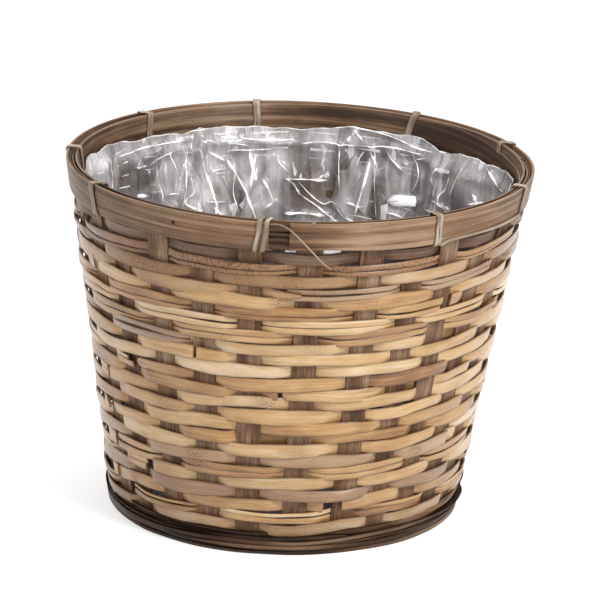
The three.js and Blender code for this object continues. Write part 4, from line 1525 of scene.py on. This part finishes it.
def film_shape():
    """Rings of the film from the middle of its floor to its edge, and its haze, light and calm there."""
    azimuth = np.linspace(0, TURN, FILM_AROUND, endpoint=False)
    edge = film_edge(azimuth)
    shares = np.concatenate([np.linspace(0, 0.52, 22), np.linspace(0.52, 1, 72)[1:]])
    floor_shares = np.linspace(0, 1, 14)[:-1, None]
    height = FILM_BOTTOM + np.outer(shares, edge - FILM_BOTTOM)
    turn = np.broadcast_to(azimuth, height.shape)
    wall = on_wall(turn, film_out(turn, height), height)
    radius = floor_shares * (stake_radius(FILM_BOTTOM) + FILM_OUT)
    level = FILM_BOTTOM + FLOOR_RIPPLE * (1 + np.sin(azimuth * 9) * floor_shares) * floor_shares
    floor = leaned(np.sin(azimuth) * radius, -np.cos(azimuth) * radius, level)
    haze = np.full(height.shape, FILM_HAZE)
    light = np.full(height.shape, FILM_LIGHT)
    for at, middle, reach, rise, more_haze, more_light in FILM_PATCHES:
        near = hump(degrees_from(turn, at), reach) * hump(height - middle, rise)
        haze = haze + more_haze * near
        light = light + more_light * near
    light = light + FILM_EDGE_LIGHT * np.clip(1 - (edge - height) / FILM_EDGE_DEPTH, 0, 1)
    calm = FILM_CALM * hump(degrees_from(turn, FILM_CALM_AT), FILM_CALM_REACH)
    flat = np.ones(floor.shape[:2])
    channels = (0.5 * flat, haze), (0.3 * flat, light), (0.5 * flat, calm)
    tone = np.stack([np.concatenate(pair) for pair in channels], axis=-1)
    return np.concatenate([floor, wall]), np.clip(tone, 0, 1)


FILM_DARK_COLOUR = (0.105, 0.094, 0.093, 1)
FILM_BROWN_COLOUR = (0.42, 0.29, 0.22, 1)
FILM_LIGHT_COLOUR = (0.93, 0.895, 0.905, 1)
# The film's back and its outer skin are dark browns: painted shade where the film shows through the gaps of
# the weave.
FILM_BEHIND_COLOUR = (0.06, 0.045, 0.035, 1)
SKIN_DARK_COLOUR = (0.05, 0.034, 0.023, 1)
SKIN_LIGHT_COLOUR = (0.26, 0.222, 0.19, 1)
CRUMPLE_SCALE = (50, 50, 18)


def film_finish():
    """Clear crumpled film: hazy in patches, brown where wood shows through, with painted glints on its
    facets and painted reflection in the lightness of its facets, ridges and streaks.
    """
    material, tree = new_material("clear_film")
    place = object_place(tree)
    haze, light, calm, _ = own_tone(tree)
    drift = {"Vector": scaled(tree, place, (30, 30, 16)), "Scale": 1.0}
    drift = node(tree, "ShaderNodeTexNoise", drift).outputs["Color"]
    shaken = mixed(tree, 0.2, scaled(tree, place, CRUMPLE_SCALE), drift, "LINEAR_LIGHT")
    facets = cell_edges(tree, shaken)
    wrinkles = cell_edges(tree, scaled(tree, shaken, (2.7, 2.7, 2.7)))
    panel = cell_colours(tree, shaken)
    glint_cells = cell_colours(tree, scaled(tree, shaken, (4.2, 4.2, 4.0)))
    mist = noise(tree, scaled(tree, place, (70, 70, 36)), 3)
    streaks = noise(tree, scaled(tree, place, (230, 230, 22)), 4)
    ridge = times(tree, spread(tree, facets, 0.0, 0.02, 1.0, 0.0), spread(tree, mist, 0.42, 0.6))
    restless = minus(tree, 1.0, calm)

    veil = plus(tree, spread(tree, mist, 0.3, 0.7, -0.22, 0.22), times(tree, ridge, 0.12))
    veil = plus(tree, veil, spread(tree, panel[0], 0, 1, -0.22, 0.18))
    veil = plus(tree, veil, spread(tree, streaks, 0.3, 0.7, -0.14, 0.14))
    alpha = maths(tree, "MULTIPLY_ADD", veil, restless, haze, clamp=True)
    alpha = spread(tree, alpha, 0, 1, 0.22, 0.94)
    # Lightness that changes from facet to facet, along ridges and in streaks: painted reflection on the
    # crumpled film.
    play = plus(tree, spread(tree, panel[1], 0, 1, -0.2, 0.22), times(tree, ridge, 0.2))
    play = plus(tree, play, spread(tree, streaks, 0.3, 0.7, -0.1, 0.12))
    light = maths(tree, "MULTIPLY_ADD", play, restless, light, clamp=True)

    # Painted glints: a scatter of small facets made white and less clear, only high up the wall.
    height = separated(tree, place)[2]
    glint = times(tree, spread(tree, mist, 0.48, 0.52), spread(tree, height, 0.12, 0.15))
    glint = times(tree, maths(tree, "GREATER_THAN", glint_cells[0], 0.93), glint)
    light = maths(tree, "MAXIMUM", light, glint)
    alpha = maths(tree, "MAXIMUM", alpha, times(tree, glint, 0.9))
    bare = spread(tree, haze, 0.1, 0.45, 1.0, 0.0)
    dark = mixed(tree, bare, FILM_DARK_COLOUR, FILM_BROWN_COLOUR)
    colour = mixed(tree, light, dark, FILM_LIGHT_COLOUR)

    relief = bumped(tree, facets, 0.0034)
    relief = bumped(tree, wrinkles, 0.0006, Normal=relief)
    relief = bumped(tree, streaks, 0.0012, Normal=relief)
    # Seen from behind, the film is dark brown: painted shade where it shows through the gaps of the weave.
    behind = node(tree, "ShaderNodeNewGeometry").outputs["Backfacing"]
    front = minus(tree, 1.0, behind)
    inputs = {
        "Base Color": mixed(tree, behind, colour, FILM_BEHIND_COLOUR),
        "Roughness": 0.24,
        "Alpha": times(tree, alpha, maths(tree, "MULTIPLY_ADD", front, 0.8, 0.2)),
        "Normal": relief,
        "Coat Weight": times(tree, front, 0.7),
        "Coat Roughness": 0.07,
        "Specular IOR Level": times(tree, front, 0.5),
    }
    return finished(material, inputs)


def film_outside_finish():
    """The side of the film that lies against the weave: clear only in part, with soft upright creases, and
    dark brown as painted shade where it shows through the gaps of the weave.
    """
    material, tree = new_material("clear_film_outside")
    place = object_place(tree)
    crumple = scaled(tree, place, CRUMPLE_SCALE)
    panel = cell_colours(tree, crumple)
    streaks = noise(tree, scaled(tree, place, (160, 160, 14)), 4)
    light = maths(tree, "MULTIPLY_ADD", panel[0], 0.5, spread(tree, streaks, 0.35, 0.7, 0.0, 0.5))
    behind = node(tree, "ShaderNodeNewGeometry").outputs["Backfacing"]
    inputs = {
        "Base Color": mixed(tree, light, SKIN_DARK_COLOUR, SKIN_LIGHT_COLOUR),
        "Roughness": 0.3,
        "Alpha": spread(tree, behind, 0, 1, 0.82, 0.03),
        "Normal": bumped(tree, cell_edges(tree, crumple), 0.003),
        "Specular IOR Level": 0.08,
    }
    return finished(material, inputs)


def gleam_finish():
    """The painted gleam of a sharp fold: white and glowing a little, broken up along its way and soft at its
    sides.
    """
    material, tree = new_material("film_gleam")
    strong, whole, *_ = own_tone(tree)
    rubbed = noise(tree, scaled(tree, object_place(tree), (130, 130, 90)), 3)
    breaks = maths(tree, "MAXIMUM", spread(tree, rubbed, 0.38, 0.58, 0.2, 1.0), whole)
    inputs = {
        "Base Color": (1, 0.99, 0.98, 1),
        "Roughness": 0.2,
        "Alpha": times(tree, strong, breaks, clamp=True),
        "Emission Color": (1, 1, 1, 1),
        "Emission Strength": 0.4,
    }
    return finished(material, inputs)


def mark_outside(film):
    """Gives the outside of the wall and the underside of the floor the second finish."""
    polygons = film.data.polygons
    middles = np.empty(len(polygons) * 3)
    normals = np.empty(len(polygons) * 3)
    polygons.foreach_get("center", middles)
    polygons.foreach_get("normal", normals)
    away = middles.reshape(-1, 3) * (1, 1, 0) + (RIM_SHIFT / 2, 0, -OUTSIDE_LOOKS_DOWN)
    outside = np.sum(away * normals.reshape(-1, 3), axis=1) > 0
    polygons.foreach_set("material_index", outside.astype(np.int32))


def make_film():
    rings, tone = film_shape()
    steps, around = rings.shape[:2]
    bpy.ops.mesh.primitive_grid_add(x_subdivisions=around, y_subdivisions=steps - 1, size=SHEET_SIZE)
    film = bpy.context.object
    wrapped = np.concatenate([rings, rings[:, :1]], axis=1)
    film.data.vertices.foreach_set("co", wrapped.ravel())
    colour = np.zeros((steps, around + 1, 4))
    colour[..., :3] = np.concatenate([tone, tone[:, :1]], axis=1)
    film.data.color_attributes.new("tone", "FLOAT_COLOR", "POINT").data.foreach_set("color", colour.ravel())
    bpy.ops.object.mode_set(mode="EDIT")
    bpy.ops.mesh.select_all(action="SELECT")
    bpy.ops.mesh.remove_doubles(threshold=MERGE_REACH)
    bpy.ops.mesh.normals_make_consistent(inside=False)
    bpy.ops.object.mode_set(mode="OBJECT")
    wall = film.modifiers.new("thickness", "SOLIDIFY")
    wall.thickness = FILM_THICKNESS
    wall.offset = 0
    bpy.ops.object.modifier_apply(modifier=wall.name)
    bpy.ops.object.shade_smooth_by_angle(angle=math.radians(FILM_SHARP))
    film.data.materials.append(film_finish())
    film.data.materials.append(film_outside_finish())
    mark_outside(film)
    give_to_body(film, "film_liner", "liner", "liner")


def gleam_strip(number, width, points, side_out=-1):
    """A painted gleam along a fold of the film: a thin white strip that runs through given points.

    A side of 1 lays it on the outside. The gleam of a broad fold is whole, and inside it fades in at its
    start."""
    steps = 16 if len(points) < EDGE_GLEAM_LEAST_POINTS else 4
    ways = np.linspace(0, len(points) - 1, steps * (len(points) - 1) + 1)
    turns, levels = (smooth_through(values, ways) for values in zip(*points))
    draw = np.random.default_rng(400 + number)
    along, height = np.radians(turns) * FILM_RADIUS, levels / 1000
    way = way_along(np.stack([along, height], axis=-1))
    heading = np.arctan2(np.gradient(height), np.gradient(along))
    depth, side = FOLD_SECTION
    near_end = np.minimum(way, way[-1] - way)
    broad = width > BROAD_FOLD
    taper, swing = (BROAD_FOLD_TAPER, BROAD_FOLD_SWING) if broad else (FOLD_TAPER, FOLD_SWING)
    full = 0.85 * width / 1000 * (1 + wander(draw, way, swing, FOLD_REACH))
    full = full * (0.2 + 0.8 * np.clip(near_end / taper, 0, 1))
    soft = np.clip(1.15 - 0.9 * np.abs(side) ** 1.5, 0, 1)
    strong = np.clip(0.15 + near_end / (1.25 * taper), 0, 1)
    if broad and side_out < 0:
        full = full * np.clip(0.62 + way / FADE_LENGTH, 0, 1)
        strong = strong * np.clip(0.1 + way / FADE_LENGTH, 0, 1)
    sideways = np.outer(full, side) / 2
    turn = (along[:, None] - sideways * np.sin(heading)[:, None]) / FILM_RADIUS
    rise = height[:, None] + sideways * np.cos(heading)[:, None]
    off_film = side_out * (FILM_THICKNESS + FOLD_THICKNESS / 2 + (BROAD_FOLD_OFF if broad else 0))
    out = film_out(turn, rise) + off_film + depth[None, :] * FOLD_THICKNESS / 2
    values = np.zeros(rise.shape + (4,))
    values[..., 0] = np.outer(strong, soft)
    values[..., 1] = 1.0 if broad else 0.0
    return on_wall(turn, out, rise), values


def make_gleams():
    """The painted gleams of all sharp folds, and the fainter painted gleam along the film's own edge."""
    turns = np.arange(4, 360, 4)
    edge_gleam = list(zip(turns, film_edge(np.radians(turns)) * 1000 - 0.2))
    folds = FOLDS_WITH_GLEAMS + [(EDGE_GLEAM_WIDTH, *edge_gleam)]
    strips = [gleam_strip(number, width, points) for number, (width, *points) in enumerate(folds)]
    edge_gleam_tone = strips[-1][1]
    edge_gleam_tone[..., 0] *= EDGE_GLEAM_STRENGTH
    for width, *points in OUTSIDE_GLEAMS:
        strips.append(gleam_strip(OUTSIDE_GLEAM_NUMBER, width, points, 1))
    roll_up("film_fold_gleams", strips, gleam_finish(), "liner", "liner", FILM_SHARP)


make_film()
make_gleams()


# Light and surroundings.
LAMPS_AIM = (0, 0, 0.1)
LAMPS = [
    # name, place, size, power
    ("key", (1.15, -1.3, 1.6), (0.6, 0.6), 30),
    ("side", (1.15, -1.45, 0.5), (0.35, 0.5), 7),
    ("fill", (-1.3, -1.2, 0.9), (1.0, 1.0), 7),
    ("top", (0, 0.3, 1.6), (0.9, 0.5), 13),
]
WHITE = (1, 1, 1, 1)
SKY_LIGHT = 0.34
FLOOR_SIZE = 6
FLOOR_GLOW = 0.62


def make_lamp(name, place, size, power):
    data = bpy.data.lights.new(name, "AREA")
    data.shape = "RECTANGLE"
    data.size, data.size_y = size
    data.energy = power
    lamp = bpy.data.objects.new(name, data)
    aim = (Vector(LAMPS_AIM) - Vector(place)).to_track_quat("-Z", "Y")
    lamp.matrix_world = Matrix.Translation(place) @ aim.to_matrix().to_4x4()
    bpy.context.scene.collection.objects.link(lamp)


def path_rays(tree):
    """One for what the camera sees, straight or in metal and glass, and none for the light on things."""
    rays = node(tree, "ShaderNodeLightPath").outputs
    straight = plus(tree, rays["Is Camera Ray"], rays["Is Glossy Ray"], clamp=True)
    return plus(tree, straight, rays["Is Transmission Ray"], clamp=True)


def make_world():
    world = bpy.data.worlds.new("studio")
    world.use_nodes = True
    tree = world.node_tree
    tree.nodes.clear()
    strength = spread(tree, path_rays(tree), 0, 1, SKY_LIGHT, 1.0)
    sky = node(tree, "ShaderNodeBackground", {"Color": WHITE, "Strength": strength})
    outlet = node(tree, "ShaderNodeOutputWorld")
    tree.links.new(sky.outputs[0], outlet.inputs[0])
    bpy.context.scene.world = world


def make_floor():
    bpy.ops.mesh.primitive_plane_add(size=FLOOR_SIZE)
    floor = bpy.context.object
    floor.name = "floor"
    material, tree = new_material("floor_white")
    inputs = {
        "Base Color": (0.6, 0.6, 0.6, 1),
        "Roughness": 0.9,
        "Emission Color": WHITE,
        "Emission Strength": times(tree, path_rays(tree), FLOOR_GLOW),
    }
    floor.data.materials.append(finished(material, inputs))
    floor.select_set(False)


for lamp in LAMPS:
    make_lamp(*lamp)
make_world()
make_floor()

bpy.context.scene.view_settings.view_transform = "Standard"
